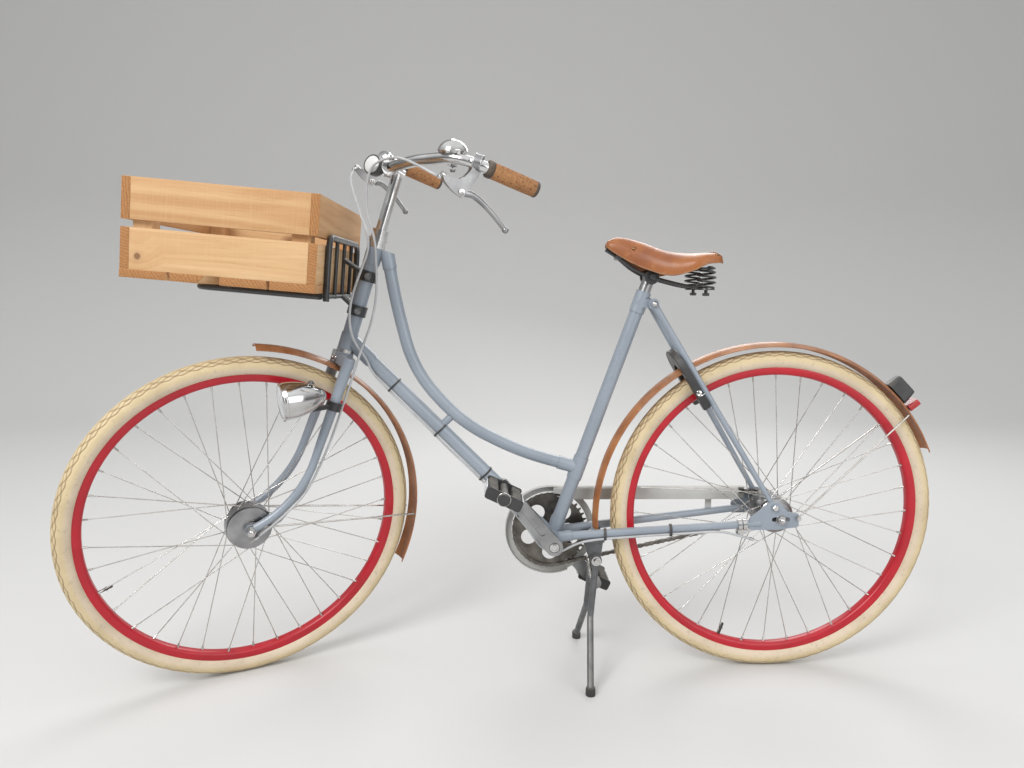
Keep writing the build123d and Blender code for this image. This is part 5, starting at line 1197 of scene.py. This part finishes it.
def addLeverParts():
    for sign, name, place in ((-1, "left", (98.4, -222, 12)), (1, "right", (66, 204, 20))):
        spot = barCentre + mm(*place)
        out = wheelSide * sign
        pivot = spot + mm(-34, 0, -52)
        shape = []
        for side in (-out, out):
            shape += lathe(lever["screw"], pivot + side * 0.006, side, 24)
        shape += hexagon(pivot - out * 0.0085, -out, 7, 2)
        along = Vector((47, sign * 33, -15)).normalized()
        for step in (0.007, -0.007):
            shape += hoop(spot + along * step, along, 15.1, 1.1, 44)
        bolt = spot + mm(-16.5, 0, 4)
        shape += rod(bolt - out * 0.006, bolt + out * 0.0085, 3.4, 16, 0.6)
        shape += lathe(lever["adjuster"], spot + mm(-64.5, 0, -25), (-0.8, 0, 0.6), 18)
        addSteered(name + "_lever_screws", shape, "chrome", 40)
        blade = curvePath([spot + mm(x, sign * y, z) for x, y, z in lever["blade"]], 8)
        addSteered(name + "_lever_blade", tube(blade, (6.8, 4.7), 16), "alloy", 50)


addBellParts()
addLampParts()
addLeverParts()
print("handlebar fittings ready")

# Axle nuts, bolts and clamps

axleNuts = {  # place and thickness of the washer, its radius, height of the nut
    "rear": (65, 1.2, 10.5, 12),
    "front": (54, 4.6, 11, 10),
}
bracketCap = ((0, 0), (10.4, 0), (10.6, 1.2), (9.8, 3), (6, 3.6), (5.4, 2.4), (0, 2))


def addFasteners():
    for end, axle, body, space in (("rear", mm(0, 0, 350), "frame", None),
                                   ("front", steerAt(0, 100), "steering", steerSwing)):
        place, thick, radius, height = axleNuts[end]
        nuts, washers = [], []
        for out in (-wheelSide, wheelSide):
            washers += washer(axle + out * place / 1000, out, radius, thick)
            nuts += domeNut(axle + out * (place + thick) / 1000, out, 15, height)
        addPiece(end + "_dome_nuts", nuts, "chrome", body, space=space)
        addPiece(end + "_washers", washers, "alloy", body, space=space)
    bolts = []
    for sign in (-1, 1):
        out = wheelSide * sign
        bolts += domeNut(mm(-272.034, 29.5 * sign, 798.022), out, 11, 6)
        bolts += hexagon(mm(-14, 69.3 * sign, 376), out, 11, 3.5)
        bolts += hexagon(mm(35, 71 * sign, 354), out, 9, 4.5)
        bolts += washer(mm(-383, 39.5 * sign, 252), out, 10.5, 1.5)
        bolts += hexagon(mm(-383, 41 * sign, 252), out, 12, 6)
        bolts += lathe(bracketCap, bracketPlace + out * 0.072, out, 30)
    addPiece("frame_bolts", bolts, "chrome", "frame")
    addPiece("stand_bolt", hexagon(mm(-389, 0, 302), upright, 14, 7), "alloy", "frame")


clip = {
    "down": (15.2, 6.2, 40, 1.2, 0.9),  # radius, bulge round the cable, steps, distance of the wires, wire
    "stay": (10.4, 5.4, 36, 1.8, 1.1),
    "downPlaces": (135, 270, 405, 520), "stayPlaces": (0.235, 0.56), "cableTurn": 0.32,
}


def clipWires(kind, centre, along, first, towards):
    radius, bulge, steps, apart, wire = clip[kind]
    second = along.cross(first).normalized()
    path = []
    for turn in (2 * pi * k / steps for k in range(steps)):
        radial = circle(first, second, turn)
        path.append(centre + radial * (radius + bulge * max(0.0, radial.dot(towards)) ** 6) / 1000)
    wires = []
    for shift in (-apart, 0, apart):
        wires += tube([point + along * shift / 1000 for point in path], wire, 6, True)
    return wires


def addClips():
    clips = []
    towards = circle(downBelow, -wheelSide, clip["cableTurn"])
    for along in clip["downPlaces"]:
        clips += clipWires("down", downAt(along), downLine, downBelow, towards)
    stayLine = (stayRear - stayFront).normalized()
    for share in clip["stayPlaces"]:
        clips += clipWires("stay", stayFront.lerp(stayRear, share), stayLine, upright, Vector((0, -0.72, -0.69)))
    addPiece("cable_clips", clips, "blackPlastic", "frame", 60)


addFasteners()
addClips()
print("fasteners ready")

# Rolled edges of the mudguards

guardEdges = {  # radius, first and last angle
    "rear": (370.4, 23.0, 183.6),
    "front": (366.4, -25.0, 85.0),
}
edgeShape = {"side": 22.6, "wire": 1.4, "steps": 90}


def addGuardEdges(end, centre, space, body):
    radius, first, last = guardEdges[end]
    steps = edgeShape["steps"]
    shape = []
    for side in (-edgeShape["side"], edgeShape["side"]):
        turns = [radians(first + (last - first) * k / steps) for k in range(steps + 1)]
        path = [space @ (centre + wheelPoint(turn, radius, side)) for turn in turns]
        shape += tube(path, edgeShape["wire"])
    addPiece(end + "_guard_edges", shape, "guardTan", body, 60)


addGuardEdges("rear", mm(-9.5, 0, 340), Matrix.Identity(4), "frame")
addGuardEdges("front", steerAt(0, 100), steerSwing, "steering")

# Pedals: clear reflectors, round caps and flats for the spanner

pedal = {
    "tilt": 155, "lens": (0.003, 0.062, 0.015), "lensOut": 0.129, "lensAhead": 0.0385, "capOut": 0.175,
    "cap": ((0, 0), (11.8, 0), (12.4, 1.2), (12.4, 4.5), (11, 6.4), (7, 7), (0, 7.2)),
    "flats": ((0, 0), (8.8, 0), (8.8, 5.5), (0, 5.5)), "flatsOut": 0.0765,
}


def addPedalParts():
    tilt = radians(pedal["tilt"])
    fore, over = wheelPoint(tilt, 1000), wheelPoint(tilt + pi / 2, 1000)
    for sign, name, centre in ((-1, "left", mm(-582.98, 0, 426.12)), (1, "right", mm(-369.02, 0, 161.88))):
        out, body = wheelSide * sign, "pedal_" + name
        lenses = []
        for end in (-1, 1):
            points, faces = boardLattice(pedal["lens"], 0.0008, 0.02)[:2]
            space = Matrix((fore, wheelSide, over)).transposed().to_4x4()
            space.translation = centre + fore * end * pedal["lensAhead"] + out * pedal["lensOut"]
            lenses.append(([space @ (point - Vector(pedal["lens"]) / 2) for point in points], faces))
        addPiece(name + "_pedal_reflectors", lenses, "lensClear", body, 40)
        tip = centre + out * pedal["capOut"]
        addPiece(name + "_pedal_cap", lathe(pedal["cap"], tip, out, 32), "blackPlastic", body, 40)
        addPiece(name + "_pedal_ring", hoop(tip + out * 0.001, out, 12.8, 1.2, 40), "chrome", body, 50)
        flats = lathe(pedal["flats"], centre + out * pedal["flatsOut"], out, 6)
        addPiece(name + "_pedal_flats", flats, "alloy", "cranks")


addPedalParts()
print("guards and pedals ready")

# Round light at the stem, turned to the left as in the photo

barLight = {
    "place": (-24.7, -1.0, -0.5), "facing": (-0.754, -0.499, 0.3), "steps": 56,
    "case": ((0, -13.5), (12, -13.5), (16.5, -12), (19.2, -8), (20, -2), (20.3, 7), (20.3, 10.4), (19.7, 11.4),
             (18, 11.4), (17.4, 10.4), (0, 10.4)),
    "glass": ((0, 10.3), (17.2, 10.3), (17.2, 11.2), (15, 12.4), (10, 13.6), (5, 14.2), (0, 14.4)),
}


def addBarLight():
    middle = barCentre + mm(*barLight["place"])
    case, glass = (lathe(barLight[part], middle, barLight["facing"], barLight["steps"])
                   for part in ("case", "glass"))
    addSteered("bar_light_case", case, "blackPlastic", 40, ("bar_lamp",))
    addSteered("bar_light_glass", glass, "whitePlastic", 60)


addBarLight()

# Stand's spring and shoes, lock's key and knob, bolts of stem, carrier and crown

spring = {"start": mm(-399, -20, 262), "end": mm(-392, -28, 206), "turns": 15, "steps": 180,
               "range": (0.12, 0.76), "radius": 0.0042, "wire": 0.9}
standShoe = ((0, 0.2), (9.5, 0.2), (10.2, 1.5), (10, 12), (9.2, 17.2), (0, 17.6))
lock = {
    "place": mm(-193.8, 0, 640.737), "back": Vector((-0.853163, 0, -0.521644)),
    "down": Vector((0.521644, 0, -0.853163)),
    "barrel": ((0, 0), (6.2, 0), (6.2, 2), (5, 2.8), (0, 2.8)),
    "key": ((0, -1), (7.8, -1), (8.4, 0), (7.8, 1), (0, 1)),
    "knob": ((0, 0), (4.5, 0), (4.5, 8), (6.5, 9), (6.5, 14), (5, 15.5), (0, 15.8)),
}
carrierBolts = (484, 558)  # along the steering axis


def addStandParts():
    start, end, steps = spring["start"], spring["end"], spring["steps"]
    run = end - start
    first, second = acrossTo(run.normalized())
    begin, reach = spring["range"]
    coil = []
    for share in (k / steps for k in range(steps + 1)):
        radial = circle(first, second, 2 * pi * spring["turns"] * share)
        coil.append(start + run * (begin + reach * share) + radial * spring["radius"])
    addPiece("stand_spring", tube([start] + coil + [end], spring["wire"], 6), "wireSteel", "stand", 60)
    shoes = []
    for side in (-130, 130):
        shoes += lathe(standShoe, mm(-403, side, 0), upright, 26)
    addPiece("stand_shoes", shoes, "blackRubber", "stand", 45)


def addLockParts():
    place, back, down = lock["place"], lock["back"], lock["down"]
    barrel = place + mm(0, -49.5, 0) + down * 0.03
    shape = lathe(lock["barrel"], barrel, -wheelSide, 28)
    shape += rod(barrel + mm(0, -2, 0), barrel + mm(0, -12, 0), 1.2, 8)
    shape += lathe(lock["key"], barrel + mm(0, -18, 0), down, 24)
    addPiece("lock_key", shape, "chrome", "frame", 40)
    knob = place + mm(0, 40.5, 0) + down * 0.046 + back * 0.006
    addPiece("lock_knob", lathe(lock["knob"], knob, back, 20), "blackPlastic", "frame", 40)


def addSteeringBolts():
    addSteered("stem_bolt", hexagon(steerAt(779), steerUp, 13, 12.5) + washer(steerAt(778), steerUp, 9.8, 12.5),
               "chrome")
    left, right = (steerAt(780, 26) + mm(0, side, -16.5) for side in (-11, 11))
    addSteered("bar_bolt", rod(left, right, 5.2, 18, 0.8) + hexagon(left, -wheelSide, 10, 5), "chrome")
    bolts = []
    for along in carrierBolts:
        for sign in (-1, 1):
            place, out = steerAt(along, -4, sign * 19.6), wheelSide * sign
            bolts += washer(place, out, 7, 1.2) + hexagon(place + out * 0.0012, out, 10, 5)
    addPiece("carrier_bolts", bolts, "alloy", "frame")
    crown = steerAt(377, 17.8)
    addSteered("crown_bolt", washer(crown, steerFront, 8.5, 1.5)
               + domeNut(crown + steerFront * 0.0015, steerFront, 11, 6), "chrome")


addStandParts()
addLockParts()
addSteeringBolts()
print("small parts ready")
